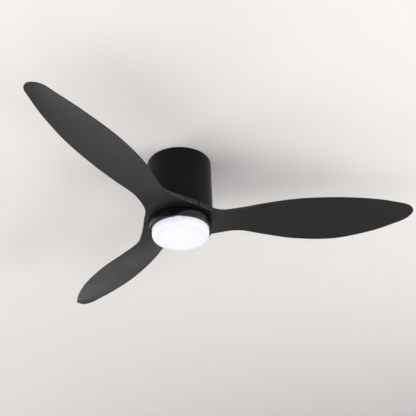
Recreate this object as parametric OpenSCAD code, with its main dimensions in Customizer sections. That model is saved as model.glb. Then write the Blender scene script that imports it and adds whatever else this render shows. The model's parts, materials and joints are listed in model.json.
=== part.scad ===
// Flush-mount ceiling fan with three moulded blades and a round light.
// Millimetres. The origin is at the ceiling, on the fan's axis, and +Z points up,
// so the whole fan hangs below z = 0. The bracket bar runs along X.

/* [Housing] */
// Outer diameter of the motor housing
housing_d = 184; // [180:1:230]
// Height of the housing, from the ceiling to its lower rim
housing_h = 174; // [170:1:215]
// Sheet thickness of the housing
housing_wall = 1.5; // [1.2:0.1:2.2]
// Width of the lip turned in at the lower rim
housing_lip = 7; // [5:0.5:8]
// Bevel round the lower rim
housing_bevel = 2.5; // [1.5:0.1:3]

/* [Ceiling bracket] */
// Sheet thickness of the ceiling bracket
bracket_t = 2.5; // [2:0.1:4]
// Diameter of the bracket's round middle
bracket_d = 126; // [124:1:150]
// Width of the bracket's bar
bracket_bar_w = 26; // [20:1:30]
// Drop of the bracket's end tabs below the ceiling
bracket_tab_h = 22; // [18:1:30]
// Diameter of the supply cable's hole
cable_hole_d = 24; // [16:1:28]
// Distance between the two ceiling screw slots
slot_spacing = 90; // [80:1:96]
// Width of a ceiling screw slot
slot_w = 5.5; // [4.5:0.1:7]
// Length of a ceiling screw slot from end to end
slot_len = 16; // [10:1:20]
// Depth of the housing's side screws below the ceiling
side_screw_drop = 12; // [9:0.5:15]

/* [Hanger] */
// Sheet thickness of the hanger legs
leg_t = 3; // [2:0.5:4]
// Width of a hanger leg
leg_w = 30; // [26:1:36]
// Distance from the axis to a leg's inner face
leg_y = 40; // [39:1:41]
// Length of a leg's turned foot
leg_foot = 18; // [16:1:19]
// Height of the room for the wiring, from the bracket to the motor plate
wiring_h = 74.5; // [70:0.5:90]

/* [Motor] */
// Thickness of the plate that carries the motor
plate_t = 3; // [2.5:0.5:5]
// Diameter of the plate that carries the motor
plate_d = 172; // [168:1:174]
// Diameter of the fixed hollow shaft
shaft_d = 20; // [18:0.5:22]
// Bore of the shaft, for the wires
shaft_bore_d = 13; // [12:0.5:13.5]
// Outer diameter of a ball bearing
bearing_d = 42; // [40:1:46]
// Width of a ball bearing
bearing_w = 12; // [11:0.5:13]
// Diameter of a bearing ball
ball_d = 6.4; // [5.6:0.2:6.8]
// Number of balls in a bearing
ball_count = 9; // [7:1:10]
// Diameter of the stator over its poles
stator_d = 120; // [110:1:124]
// Height of the stator's laminated core
stator_h = 24; // [18:1:28]
// Number of stator poles
pole_count = 12; // [9:3:12]
// Width of a stator tooth
tooth_w = 8; // [6:0.5:9]
// Height of a winding above and below the core
winding_h = 7; // [5:0.5:8]
// Gap between the stator and the magnets
air_gap = 1; // [0.6:0.1:1.5]
// Thickness of a magnet
magnet_t = 4; // [3:0.5:5]
// Number of magnets
magnet_count = 14; // [10:2:16]
// Thickness of the rotor's steel yoke
yoke_t = 5; // [3:0.5:6]
// Wall of the rotor's cast cover
cover_wall = 3.5; // [3:0.5:4]
// Width of the cover's screw flange
cover_flange = 8.5; // [8:0.5:10]

/* [Blades] */
// Diameter of the circle that the blade tips sweep
sweep_d = 1320; // [1100:10:1600]
// Greatest width of a blade
blade_chord = 153; // [120:1:185]
// Height between a blade's two edges where it is pitched most
blade_rise = 43.5; // [30:0.5:52]
// Height of a blade's root
root_h = 14; // [12:0.5:17]
// Gap between the housing's rim and the blade roots
root_gap = 4; // [3:0.5:6]
// Diameter of the opening inside the blade roots
root_bore_d = 68; // [64:1:72]
// Distance from the axis to the hollow between two blades
neck_r = 101; // [99:1:112]
// Width of the joint between two blade roots
joint_gap = 0.6; // [0.4:0.1:1.2]
// Angle of the first blade when the fan is at rest
blade_angle = 108; // [0:1:119]

/* [Light] */
// Diameter of the light's black pan
pan_d = 176; // [168:1:190]
// Height of the light's pan
pan_h = 24; // [23:0.5:30]
// Wall of the pan
pan_wall = 2; // [1.5:0.1:2.5]
// Gap between the blade roots and the pan
pan_gap = 4; // [3.5:0.5:6]
// Width of the pan's lip round the diffuser
pan_lip_w = 8; // [7.5:0.5:12]
// Height of the diffuser below the pan
diffuser_h = 23; // [18:1:40]
// Wall of the diffuser
diffuser_wall = 2; // [1.5:0.1:3]
// Radius of the diffuser's lower edge
diffuser_round = 12; // [6:0.5:16]
// Distance from the diffuser's outside to the edge of the LED board
board_inset = 6; // [4:0.5:10]
// Turn that frees the diffuser's lugs from the pan
bayonet_turn = 14; // [12:1:20]

/* [Hidden] */
$fn = 64;

eps = 0.01;            // overshoot of a cut past a face
press_gap = 0.05;      // radial gap of a press or thread
slip_gap = 0.3;        // gap between curved faces that only pass
boss_fn = 32;          // facets of a small round piece

// Fasteners: radius of the shank, of the head, and the head's height
m4_r = 2;
m5_r = 2.5;
m4_head_r = 3.6;
m4_head_h = 2.4;
m5_head_r = 4.6;
m5_head_h = 3;

// Heights along the axis, from the ceiling down
housing_r = housing_d / 2;
housing_in_r = housing_r - housing_wall;
rim_z = -housing_h;
tab_x = sqrt(pow(housing_in_r, 2) - pow(bracket_bar_w / 2, 2)) - slip_gap;
leg_top_z = -bracket_t;
plate_top_z = leg_top_z - wiring_h;
plate_low_z = plate_top_z - plate_t;
flange_h = 4;
flange_r = 18;
flange_low_z = plate_low_z - flange_h;
sleeve_h = 8;
upper_bearing_z = flange_low_z - sleeve_h;          // top face of the upper bearing
lip_h = 3;                                          // shoulder over or under a bearing
pad_t = 1;                                          // damping pad between base and blade
root_top_z = rim_z - root_gap;
root_low_z = root_top_z - root_h;
root_mid_z = (root_top_z + root_low_z) / 2;
base_t = 8;
boss_h = 7;
pad_top_z = root_top_z + pad_t;
base_low_z = pad_top_z + boss_h;
base_top_z = base_low_z + base_t;
lower_bearing_z = base_low_z + lip_h + bearing_w;   // top face of the lower bearing

// Motor radii and heights
shaft_r = shaft_d / 2;
shaft_bore_r = shaft_bore_d / 2;
bearing_r = bearing_d / 2;
race_w = (bearing_r - shaft_r) * 0.28;              // radial thickness of a race
pitch_r = (bearing_r + shaft_r) / 2;                // circle of the ball centres
hub_wall = 6;
hub_r = bearing_r + hub_wall;
stator_r = stator_d / 2;
magnet_in_r = stator_r + air_gap;
yoke_in_r = magnet_in_r + magnet_t;
yoke_out_r = yoke_in_r + yoke_t;
cover_in_r = yoke_out_r + press_gap;
cover_out_r = cover_in_r + cover_wall;
base_r = cover_out_r + cover_flange;
flange_t = 4;
cover_disc_t = 4;
cover_disc_low_z = upper_bearing_z - bearing_w;
stator_mid_z = (cover_disc_low_z + base_top_z) / 2;
stator_top_z = stator_mid_z + stator_h / 2;
stator_low_z = stator_mid_z - stator_h / 2;
insulator_t = 1.5;
winding_gap = 0.1;

// Blade screws: [distance from the axis, angle from the blade's own line]
blade_count = 3;
root_bore_r = root_bore_d / 2;
inner_screw_r = root_bore_r + 18;
outer_screw_r = base_r - 12;
screw_spread = 26;
blade_screw_places = [[inner_screw_r, 0], [outer_screw_r, -screw_spread], [outer_screw_r, screw_spread]];
blade_screw_depth = 5;
blade_screw_hole_r = m5_r + slip_gap;

// Light kit heights and radii
pan_top_z = root_low_z - pan_gap;
pan_low_z = pan_top_z - pan_h;
pan_in_z = pan_top_z - pan_wall;
pan_r = pan_d / 2;
pan_in_r = pan_r - pan_wall;
pan_edge_r = 3;
pan_lip_t = 3;
light_bracket_t = 2;
light_bracket_r = 60;
nut_h = 4.5;
light_nut_across = 24;
light_thread_r = 8;
shaft_low_z = pan_in_z - nut_h - 1.5;
thread_top_z = pan_top_z + light_bracket_t;
pan_lip_r = pan_r - pan_lip_w;                      // opening inside the pan's lip
diffuser_gap = 1;
diffuser_r = pan_lip_r - diffuser_gap;
diffuser_neck = 6;                                  // reach of the diffuser above the pan's lip
diffuser_top_z = pan_low_z + pan_lip_t + diffuser_neck;
diffuser_low_z = pan_low_z - diffuser_h;
lug_out = 4;
lug_h = 3;
lug_low_z = pan_low_z + pan_lip_t + slip_gap;
lug_angle = 10;
notch_angle = lug_angle + 3;
lug_count = 3;
board_t = 1.6;
board_boss_h = 10;
board_top_z = pan_in_z - board_boss_h;
led_board_r = diffuser_r - board_inset;
board_hole_r = 5;
board_screw_r = led_board_r - 9;
board_boss_r = 5;
m3_r = 1.5;
m3_head_r = 3;
m3_head_h = 1.8;
pan_screw_r = light_bracket_r - 10;
chip_w = 3.5;
chip_h = 0.8;
chip_ring_pitch = 17;
chip_rings = [for (k = [1 : 3]) [led_board_r - chip_ring_pitch * k, 29 - 7 * k]]; // [radius, chips]

// Controller and terminal block on the motor plate
controller_size = [48, 64, 28];
controller_x = 25;
controller_wall = 1.6;
controller_ear = 8;
controller_ear_t = 3;
wire_port_r = 4;
wire_port_rise = 14;     // centre of the wire ports above the motor plate
wire_port_y = 18;
terminal_size = [24, 36, 16];
terminal_x = -66;
terminal_pitch = 10;
terminal_row = 6;        // distance of a row of terminal screws from the block's middle
terminal_floor = 6;
terminal_well_r = 2.6;
terminal_screw_r = 2.5;
terminal_port_r = 1.6;
terminal_port_rise = 4;
terminal_port_l = 5;
lead_r = 1;
lead_steps = 4;

// ---------- Helpers ----------

// Round disc between two heights
module disc(r, top, low) {
    translate([0, 0, low])
        cylinder(r = r, h = top - low);
}

// Round ring between two heights
module ring(r_in, r_out, top, low) {
    difference() {
        disc(r_out, top, low);
        disc(r_in, top + eps, low - eps);
    }
}

// Copies its children round the axis
module around(count, first = 0) {
    for (i = [0 : count - 1])
        rotate([0, 0, first + i * 360 / count])
            children();
}

// Part of a ring, from one angle over a sweep
module arc_block(r_in, r_out, top, low, from, sweep) {
    rotate([0, 0, from])
        rotate_extrude(angle = sweep)
            translate([r_in, low])
                square([r_out - r_in, top - low]);
}

// Pan-head screw with a cross recess. Its seat is at z = 0, its shank points down.
module pan_screw(shank_r, head_r, head_h, length) {
    recess_w = head_r * 0.3;
    recess_l = head_r * 1.1;
    difference() {
        union() {
            cylinder(r = head_r, h = head_h * 0.6, $fn = boss_fn);
            translate([0, 0, head_h * 0.6])
                cylinder(r1 = head_r, r2 = head_r * 0.7, h = head_h * 0.4, $fn = boss_fn);
            translate([0, 0, -length])
                cylinder(r = shank_r - press_gap, h = length + eps, $fn = boss_fn);
        }
        for (turn = [0, 90])
            rotate([0, 0, turn])
                translate([-recess_l / 2, -recess_w / 2, head_h * 0.45])
                    cube([recess_l, recess_w, head_h]);
    }
}

// Hexagon nut between two heights
module hex_nut(across, bore_r, top, low) {
    difference() {
        translate([0, 0, low])
            cylinder(r = across / sqrt(3), h = top - low, $fn = 6);
        disc(bore_r + press_gap, top + eps, low - eps);
    }
}

// Point on a smooth curve through p; t runs from 0 at p[1] to len(p) - 3 at the last but one
function on_curve(p, t) =
    let (n = len(p) - 3,
         i = min(floor(t), n - 1),
         u = t - i,
         a = p[i],
         b = p[i + 1],
         c = p[i + 2],
         d = p[i + 3])
    (2 * b + (c - a) * u + (2 * a - 5 * b + 4 * c - d) * u * u
        + (3 * b - a - 3 * c + d) * u * u * u) / 2;

// A list with its first and last entries doubled, for a curve that starts and ends on them
function doubled(p) = concat([p[0]], p, [p[len(p) - 1]]);

function unit(v) = v / norm(v);

// Closed skin over rings of the same even length, all with the same turning sense
module skin(rings) {
    n = len(rings[0]);
    last = len(rings) - 1;
    points = [for (r = rings) each r];
    sides = [for (k = [0 : last - 1], i = [0 : n - 1])
        let (j = (i + 1) % n)
        each [[k * n + i, (k + 1) * n + j, k * n + j],
              [k * n + i, (k + 1) * n + i, (k + 1) * n + j]]];
    start = [for (i = [0 : n / 2 - 2])
        each [[i, i + 1, n - 2 - i], [i, n - 2 - i, n - 1 - i]]];
    end = [for (face = start) [for (i = [2 : -1 : 0]) last * n + face[i]]];
    polyhedron(points = points, faces = concat(sides, start, end));
}

// Directions square to each of a path's directions, carried along it without a twist
function carried(ahead, side, k = 0) =
    let (here = unit(side - (side * ahead[k]) * ahead[k]))
    k == len(ahead) - 1 ? [here] : concat([here], carried(ahead, here, k + 1));

// Round wire through chosen points; first_side is any direction across its first stretch
module wire(route, r = lead_r, sides = 8, first_side = [0, 0, 1]) {
    p = doubled(route);
    count = (len(route) - 1) * lead_steps;
    path = [for (k = [0 : count]) on_curve(p, k / lead_steps)];
    ahead = [for (k = [0 : count]) unit(path[min(k + 1, count)] - path[max(k - 1, 0)])];
    side = carried(ahead, first_side);
    skin([for (k = [0 : count])
        [for (i = [0 : sides - 1])
            let (a = i * 360 / sides)
            path[k] + r * (cos(a) * side[k] + sin(a) * cross(ahead[k], side[k]))]]);
}

// ---------- Ceiling bracket, hanger and housing ----------

leg_screw_x = 8;
leg_screw_y = leg_y + (leg_foot + leg_t) / 2;
earth_place = [24, -36];
earth_eye_t = 1;

module leg_screw_places() {
    for (x = [-leg_screw_x, leg_screw_x], y = [-leg_screw_y, leg_screw_y])
        translate([x, y, 0])
            children();
}

module mounting_bracket() {
    color("silver")
    difference() {
        union() {
            disc(bracket_d / 2, 0, -bracket_t);
            translate([-tab_x, -bracket_bar_w / 2, -bracket_t])
                cube([2 * tab_x, bracket_bar_w, bracket_t]);
            for (side = [0, 180])
                rotate([0, 0, side])
                    translate([tab_x - bracket_t, -bracket_bar_w / 2, -bracket_tab_h])
                        cube([bracket_t, bracket_bar_w, bracket_tab_h]);
        }
        disc(cable_hole_d / 2, eps, -bracket_t - eps);
        for (side = [-1, 1]) {
            for (end = [-1, 1])
                translate([side * slot_spacing / 2 + end * (slot_len - slot_w) / 2, 0, 0])
                    disc(slot_w / 2, eps, -bracket_t - eps);
            translate([side * slot_spacing / 2 - (slot_len - slot_w) / 2, -slot_w / 2, -bracket_t - eps])
                cube([slot_len - slot_w, slot_w, bracket_t + 2 * eps]);
        }
        leg_screw_places()
            disc(m4_r, eps, -bracket_t - eps);
        translate([earth_place[0], earth_place[1], 0])
            disc(m4_r, eps, -bracket_t - eps);
        translate([-tab_x - eps, 0, -side_screw_drop])
            rotate([0, 90, 0])
                cylinder(r = m4_r, h = 2 * (tab_x + eps));
    }
}

module housing_shell() {
    color([0.045, 0.045, 0.05])
    difference() {
        rotate_extrude($fn = 96)
            polygon([
                [housing_r, 0],
                [housing_r, rim_z + housing_bevel],
                [housing_r - housing_bevel, rim_z],
                [housing_r - housing_lip, rim_z],
                [housing_r - housing_lip, rim_z + housing_wall],
                [housing_r - housing_bevel - housing_wall / 2, rim_z + housing_wall],
                [housing_in_r, rim_z + housing_bevel + housing_wall / 2],
                [housing_in_r, 0]
            ]);
        translate([-housing_r - eps, 0, -side_screw_drop])
            rotate([0, 90, 0])
                cylinder(r = m4_r + slip_gap, h = 2 * (housing_r + eps));
    }
}

module housing_screws() {
    screw_len = housing_r - tab_x + bracket_t + 1;
    color("dimgray")
    for (side = [0, 180])
        rotate([0, 0, side])
            translate([housing_r, 0, -side_screw_drop])
                rotate([0, 90, 0])
                    pan_screw(m4_r, m4_head_r, m4_head_h, screw_len);
}

module hanger_legs() {
    color("lightgray")
    for (side = [0, 180])
        rotate([0, 0, side])
            difference() {
                union() {
                    translate([-leg_w / 2, leg_y, plate_top_z])
                        cube([leg_w, leg_t, wiring_h]);
                    for (z = [leg_top_z - leg_t, plate_top_z])
                        translate([-leg_w / 2, leg_y, z])
                            cube([leg_w, leg_foot, leg_t]);
                }
                leg_screw_places()
                    disc(m4_r + slip_gap, eps, plate_low_z);
            }
}

module bracket_screws() {
    color("dimgray")
    leg_screw_places()
        translate([0, 0, leg_top_z - leg_t])
            rotate([180, 0, 0])
                pan_screw(m4_r, m4_head_r, m4_head_h, leg_t + bracket_t - slip_gap);
}

module plate_screws() {
    color("dimgray")
    leg_screw_places()
        translate([0, 0, plate_top_z + leg_t])
            pan_screw(m4_r, m4_head_r, m4_head_h, leg_t + plate_t - slip_gap);
}

module motor_plate() {
    cable_r = 7;
    cable_place_r = 62;
    color("silver")
    difference() {
        disc(plate_d / 2, plate_top_z, plate_low_z);
        disc(shaft_r + press_gap, plate_top_z + eps, plate_low_z - eps);
        leg_screw_places()
            disc(m4_r, plate_top_z + eps, plate_low_z - eps);
        controller_ear_places()
            disc(m4_r, plate_top_z + eps, plate_low_z - eps);
        around(2, 135)
            translate([cable_place_r, 0, 0])
                disc(cable_r, plate_top_z + eps, plate_low_z - eps);
    }
}

// ---------- Fixed shaft and its bearings ----------

washer_t = 1.5;
shaft_nut_h = 6;
shaft_nut_across = 30;
shaft_top_z = plate_top_z + washer_t + shaft_nut_h + 6;
wire_hole_r = 3;
wire_hole_z = cover_disc_low_z - 5;
circlip_t = 1.2;
circlip_depth = 0.8;
circlip_out = 3;
circlip_tops = [upper_bearing_z - bearing_w, lower_bearing_z - bearing_w];

module shaft() {
    color("lightsteelblue")
    difference() {
        union() {
            disc(shaft_r, shaft_top_z, thread_top_z);
            disc(light_thread_r, thread_top_z + eps, shaft_low_z);
            disc(flange_r, plate_low_z, flange_low_z);
        }
        disc(shaft_bore_r, shaft_top_z + eps, shaft_low_z - eps);
        for (z = circlip_tops)
            ring(shaft_r - circlip_depth, shaft_r + 1, z + eps, z - circlip_t - eps);
        translate([0, 0, wire_hole_z])
            rotate([0, 90, 0])
                cylinder(r = wire_hole_r, h = shaft_r + 1);
    }
}

module shaft_washer() {
    color("silver")
    ring(shaft_r + press_gap, shaft_r + 7, plate_top_z + washer_t, plate_top_z);
}

module shaft_nut() {
    color("silver")
    hex_nut(shaft_nut_across, shaft_r, plate_top_z + washer_t + shaft_nut_h, plate_top_z + washer_t);
}

module bearing_sleeve() {
    color("silver")
    ring(shaft_r + press_gap, shaft_r + race_w, flange_low_z, upper_bearing_z);
}

module ball_groove(top) {
    groove_r = ball_d / 2 + press_gap * 1.5;
    translate([0, 0, top - bearing_w / 2])
        rotate_extrude($fn = 96)
            translate([pitch_r, 0])
                circle(r = groove_r, $fn = boss_fn);
}

module inner_race(top) {
    color("gainsboro")
    difference() {
        ring(shaft_r + press_gap / 2, shaft_r + race_w, top, top - bearing_w);
        ball_groove(top);
    }
}

module outer_race(top) {
    color("gainsboro")
    difference() {
        ring(bearing_r - race_w, bearing_r - press_gap / 2, top, top - bearing_w);
        ball_groove(top);
    }
}

module bearing_balls(top) {
    color("white")
    around(ball_count)
        translate([pitch_r, 0, top - bearing_w / 2])
            sphere(r = ball_d / 2, $fn = boss_fn);
}

module bearing_cage(top) {
    cage_w = 2;
    cage_h = ball_d * 0.7;
    color("goldenrod")
    difference() {
        ring(pitch_r - cage_w / 2, pitch_r + cage_w / 2,
             top - bearing_w / 2 + cage_h / 2, top - bearing_w / 2 - cage_h / 2);
        around(ball_count)
            translate([pitch_r, 0, top - bearing_w / 2])
                sphere(r = ball_d / 2 + press_gap, $fn = boss_fn);
    }
}

module upper_inner_race() { inner_race(upper_bearing_z); }
module upper_outer_race() { outer_race(upper_bearing_z); }
module upper_balls() { bearing_balls(upper_bearing_z); }
module upper_cage() { bearing_cage(upper_bearing_z); }
module lower_inner_race() { inner_race(lower_bearing_z); }
module lower_outer_race() { outer_race(lower_bearing_z); }
module lower_balls() { bearing_balls(lower_bearing_z); }
module lower_cage() { bearing_cage(lower_bearing_z); }

module circlips() {
    open_angle = 40;
    color("dimgray")
    for (z = circlip_tops)
        arc_block(shaft_r - circlip_depth + press_gap, shaft_r - circlip_depth + circlip_out,
                  z, z - circlip_t, open_angle, 360 - open_angle);
}

// ---------- Stator ----------

core_hub_r = shaft_r + 14;
shoe_t = 4;
shoe_gap_angle = 6;
tooth_end_r = stator_r - shoe_t;

module stator_core() {
    color("slategray")
    difference() {
        union() {
            disc(core_hub_r, stator_top_z, stator_low_z);
            around(pole_count) {
                translate([core_hub_r - 2, -tooth_w / 2, stator_low_z])
                    cube([tooth_end_r - core_hub_r + 3, tooth_w, stator_h]);
                arc_block(tooth_end_r, stator_r, stator_top_z, stator_low_z,
                          -180 / pole_count + shoe_gap_angle / 2, 360 / pole_count - shoe_gap_angle);
            }
        }
        disc(shaft_r + press_gap, stator_top_z + eps, stator_low_z - eps);
    }
}

module stator_insulators() {
    color("ivory")
    for (top = [stator_top_z + insulator_t, stator_low_z])
        difference() {
            union() {
                disc(core_hub_r, top, top - insulator_t);
                around(pole_count)
                    translate([core_hub_r - 2, -tooth_w / 2, top - insulator_t])
                        cube([tooth_end_r - core_hub_r + 1, tooth_w, insulator_t]);
            }
            disc(shaft_r + 2, top + eps, top - insulator_t - eps);
        }
}

module stator_windings() {
    half_pitch = 180 / pole_count;
    coil_in_r = core_hub_r + 4;
    coil_out_r = tooth_end_r - 2;
    clear = 0.7;
    in_w = coil_in_r * tan(half_pitch) - clear;
    out_w = coil_out_r * tan(half_pitch) - clear;
    tooth_room = tooth_w / 2 + winding_gap;
    core_half = stator_h / 2 + insulator_t + winding_gap;
    color("peru")
    around(pole_count)
        translate([0, 0, stator_mid_z])
            difference() {
                linear_extrude(height = stator_h + 2 * winding_h, center = true)
                    polygon([[coil_in_r, -in_w], [coil_out_r, -out_w],
                             [coil_out_r, out_w], [coil_in_r, in_w]]);
                translate([0, -tooth_room, -core_half])
                    cube([stator_r, 2 * tooth_room, 2 * core_half]);
            }
}

// ---------- Rotor ----------

magnet_over = 3;         // how far the magnets reach past the core
rotor_screw_count = 6;
rotor_screw_r = base_r - cover_flange / 2;

module rotor_magnets() {
    pitch = 360 / magnet_count;
    space = 1.5;
    color("darkgray")
    for (i = [0 : magnet_count - 1])
        arc_block(magnet_in_r, yoke_in_r - press_gap, stator_top_z + magnet_over,
                  stator_low_z - magnet_over, i * pitch, pitch - space);
}

module rotor_yoke() {
    color("gray")
    ring(yoke_in_r, yoke_out_r, cover_disc_low_z, base_top_z);
}

module rotor_cover() {
    vent_r = 8;
    vent_count = 6;
    vent_place_r = (hub_r + cover_in_r) / 2;
    color("gainsboro")
    difference() {
        union() {
            disc(hub_r, upper_bearing_z + lip_h, cover_disc_low_z);
            disc(cover_out_r, cover_disc_low_z + cover_disc_t, cover_disc_low_z);
            ring(cover_in_r, cover_out_r, cover_disc_low_z + eps, base_top_z);
            ring(cover_in_r, base_r, base_top_z + flange_t, base_top_z);
        }
        disc(bearing_r, upper_bearing_z, cover_disc_low_z - eps);
        disc(bearing_r - race_w - 1, upper_bearing_z + lip_h + eps, upper_bearing_z - eps);
        around(vent_count, 30)
            translate([vent_place_r, 0, 0])
                disc(vent_r, cover_disc_low_z + cover_disc_t + eps, cover_disc_low_z - eps);
        around(rotor_screw_count)
            translate([rotor_screw_r, 0, 0])
                disc(m4_r + slip_gap, base_top_z + flange_t + eps, base_top_z - eps);
    }
}

module blade_screw_spots() {
    around(blade_count, blade_angle)
        for (place = blade_screw_places)
            rotate([0, 0, place[1]])
                translate([place[0], 0, 0])
                    children();
}

module rotor_base() {
    boss_in_r = root_bore_r + 4;
    boss_out_r = base_r - 3;
    relief = 5;
    color("gainsboro")
    difference() {
        union() {
            disc(base_r, base_top_z, base_low_z);
            disc(hub_r, lower_bearing_z, base_low_z);
            around(blade_count, blade_angle)
                arc_block(boss_in_r, boss_out_r, base_low_z + eps, pad_top_z,
                          -180 / blade_count + relief, 360 / blade_count - 2 * relief);
        }
        disc(bearing_r, lower_bearing_z + eps, lower_bearing_z - bearing_w);
        disc(bearing_r - race_w - 1, base_top_z, base_low_z - eps);
        around(rotor_screw_count)
            translate([rotor_screw_r, 0, 0])
                disc(m4_r, base_top_z + eps, base_low_z + 1);
        blade_screw_spots()
            disc(m5_r, base_top_z - 2, pad_top_z - eps);
    }
}

module rotor_screws() {
    color("dimgray")
    around(rotor_screw_count)
        translate([rotor_screw_r, 0, base_top_z + flange_t])
            pan_screw(m4_r, m4_head_r, m4_head_h, flange_t + base_t - 2);
}

module blade_pads() {
    pad_in_r = root_bore_r + 8;
    pad_out_r = base_r - 5;
    relief = 8;
    color([0.1, 0.1, 0.1])
    difference() {
        around(blade_count, blade_angle)
            arc_block(pad_in_r, pad_out_r, pad_top_z, root_top_z,
                      -180 / blade_count + relief, 360 / blade_count - 2 * relief);
        blade_screw_spots()
            disc(m5_r + slip_gap, pad_top_z + eps, root_top_z - eps);
    }
}

// ---------- Blades ----------

// Stations along a blade: share of the span, rear and front half widths as shares of the
// chord, rear and front heights as shares of the rise, edge and middle thickness
station_r = neck_r + 5;
blade_stations = [
    [0.00, 0.32, 0.42, -0.02, -0.02, 12.0, 12.5],
    [0.11, 0.28, 0.32,  0.22, -0.12,  7.0,  8.5],
    [0.24, 0.37, 0.42,  0.38, -0.28,  3.6,  6.5],
    [0.40, 0.44, 0.54,  0.51, -0.41,  2.6,  5.5],
    [0.60, 0.44, 0.56,  0.56, -0.44,  2.4,  5.0],
    [0.79, 0.35, 0.43,  0.58, -0.22,  2.4,  4.5],
    [0.92, 0.23, 0.27,  0.54,  0.07,  2.4,  3.6],
    [0.965, 0.175, 0.205, 0.50, 0.20, 2.4,  3.1],
    [0.99, 0.10, 0.115, 0.44,  0.30,  2.4,  2.8],
    [1.00, 0.00, 0.00,  0.37,  0.37,  2.4,  2.6]
];
blade_bow = 5;           // how far a blade's middle arches above its edges
half_sector = 180 / blade_count;
tip_r = sweep_d / 2;

function turned(p, angle) =
    [p[0] * cos(angle) - p[1] * sin(angle), p[0] * sin(angle) + p[1] * cos(angle), p[2]];

// Edge point of a station: side is -1 at the rear edge and 1 at the front edge
function station_point(s, side) =
    [station_r + (tip_r - station_r) * s[0],
     side * blade_chord * (side < 0 ? s[1] : s[2]),
     root_mid_z + blade_rise * (side < 0 ? s[3] : s[4])];

// Point on a root's side face, half the joint away from the true radius
function joint_point(r, side) =
    let (a = side * half_sector)
    [r * cos(a) + joint_gap / 2 * sin(half_sector),
     r * sin(a) - side * joint_gap / 2 * cos(half_sector),
     root_mid_z];

// An edge's curve runs on past its ends, into the next blade and round the tip
function edge_curve(side) =
    concat([turned(station_point(blade_stations[0], -side), side * 2 * half_sector),
            joint_point(neck_r, side)],
           [for (s = blade_stations) station_point(s, side)],
           [station_point(blade_stations[len(blade_stations) - 2], -side)]);

rear_edge = edge_curve(-1);
front_edge = edge_curve(1);
thickness_curve = doubled(concat([[root_h, root_h]], [for (s = blade_stations) [s[5], s[6]]]));

section_steps = 7;       // points across a section, less one
tip_stop = 0.04;
last_station = len(blade_stations);
section_places = concat([for (t = [0 : 0.34 : last_station - 1]) t],
                        [for (t = [0.12, 0.3, 0.5, 0.68, 0.83, 0.92]) last_station - 1 + t],
                        [last_station - tip_stop]);

// Closed ring of points round the blade, from its rear edge below to its rear edge above
function section_ring(rear, front, edge_t, middle_t, bow) =
    let (across = [for (j = [0 : section_steps]) -cos(j * 180 / section_steps)],
         low = [for (u = across)
             (rear + front) / 2 + u * (front - rear) / 2
             + [0, 0, bow * (1 - u * u) - (edge_t + (middle_t - edge_t) * (1 - u * u)) / 2]],
         high = [for (u = across)
             (rear + front) / 2 + u * (front - rear) / 2
             + [0, 0, bow * (1 - u * u) + (edge_t + (middle_t - edge_t) * (1 - u * u)) / 2]])
    concat(low, [for (j = [section_steps : -1 : 0]) high[j]]);

function bow_at(t) = blade_bow * pow(sin(180 * min(max(t - 1, 0) / (last_station - 1), 1)), 2);

module blade_body() {
    start_r = 12;
    skin(concat(
        [section_ring(joint_point(start_r, -1), joint_point(start_r, 1), root_h, root_h, 0)],
        [for (t = section_places)
            let (th = on_curve(thickness_curve, t))
            section_ring(on_curve(rear_edge, t), on_curve(front_edge, t), th[0], th[1], bow_at(t))]
    ));
}

module blade(number) {
    color([0.06, 0.06, 0.065])
    difference() {
        rotate([0, 0, blade_angle + (number - 1) * 360 / blade_count])
            blade_body();
        disc(root_bore_r, root_top_z + 1, root_low_z - 1);
        blade_screw_spots() {
            disc(blade_screw_hole_r, root_top_z + 1, root_low_z - 1);
            disc(m5_head_r + 1, root_low_z + blade_screw_depth, root_low_z - 1);
        }
    }
}

module blade_1() { blade(1); }
module blade_2() { blade(2); }
module blade_3() { blade(3); }

module blade_screws() {
    seat_z = root_low_z + blade_screw_depth;
    color("dimgray")
    blade_screw_spots()
        translate([0, 0, seat_z])
            rotate([180, 0, 0])
                pan_screw(m5_r, m5_head_r, m5_head_h, base_top_z - 3 - seat_z);
}

// ---------- Light ----------

module light_screw_spots() {
    around(lug_count, 30)
        translate([pan_screw_r, 0, 0])
            children();
}

module board_screw_spots() {
    around(lug_count, 90)
        translate([board_screw_r, 0, 0])
            children();
}

module light_bracket() {
    color("silver")
    difference() {
        disc(light_bracket_r, thread_top_z, pan_top_z);
        disc(light_thread_r + press_gap, thread_top_z + eps, pan_top_z - eps);
        light_screw_spots()
            disc(m4_r, thread_top_z + eps, pan_top_z - eps);
    }
}

module light_nuts() {
    color("silver")
    hex_nut(light_nut_across, light_thread_r, pan_in_z, pan_in_z - nut_h);
}

module light_pan() {
    color([0.03, 0.03, 0.035])
    difference() {
        union() {
            difference() {
                rotate_extrude($fn = 96)
                    union() {
                        translate([0, pan_low_z])
                            square([pan_r, pan_h - pan_edge_r]);
                        translate([0, pan_low_z])
                            square([pan_r - pan_edge_r, pan_h]);
                        translate([pan_r - pan_edge_r, pan_top_z - pan_edge_r])
                            circle(r = pan_edge_r, $fn = boss_fn);
                    }
                disc(pan_in_r - 1, pan_in_z, pan_low_z + pan_lip_t);
                disc(pan_lip_r, pan_low_z + pan_lip_t + eps, pan_low_z - eps);
            }
            board_screw_spots()
                disc(board_boss_r, pan_in_z + eps, board_top_z);
        }
        disc(light_thread_r + press_gap, pan_top_z + eps, pan_in_z - eps);
        light_screw_spots()
            disc(m4_r + slip_gap, pan_top_z + eps, pan_in_z - eps);
        board_screw_spots()
            disc(m3_r, pan_in_z, board_top_z - eps);
        for (i = [0 : lug_count - 1])
            arc_block(pan_lip_r - 1, diffuser_r + lug_out + slip_gap, pan_low_z + pan_lip_t + eps,
                      pan_low_z - eps, i * 360 / lug_count + bayonet_turn - notch_angle / 2, notch_angle);
    }
}

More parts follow.
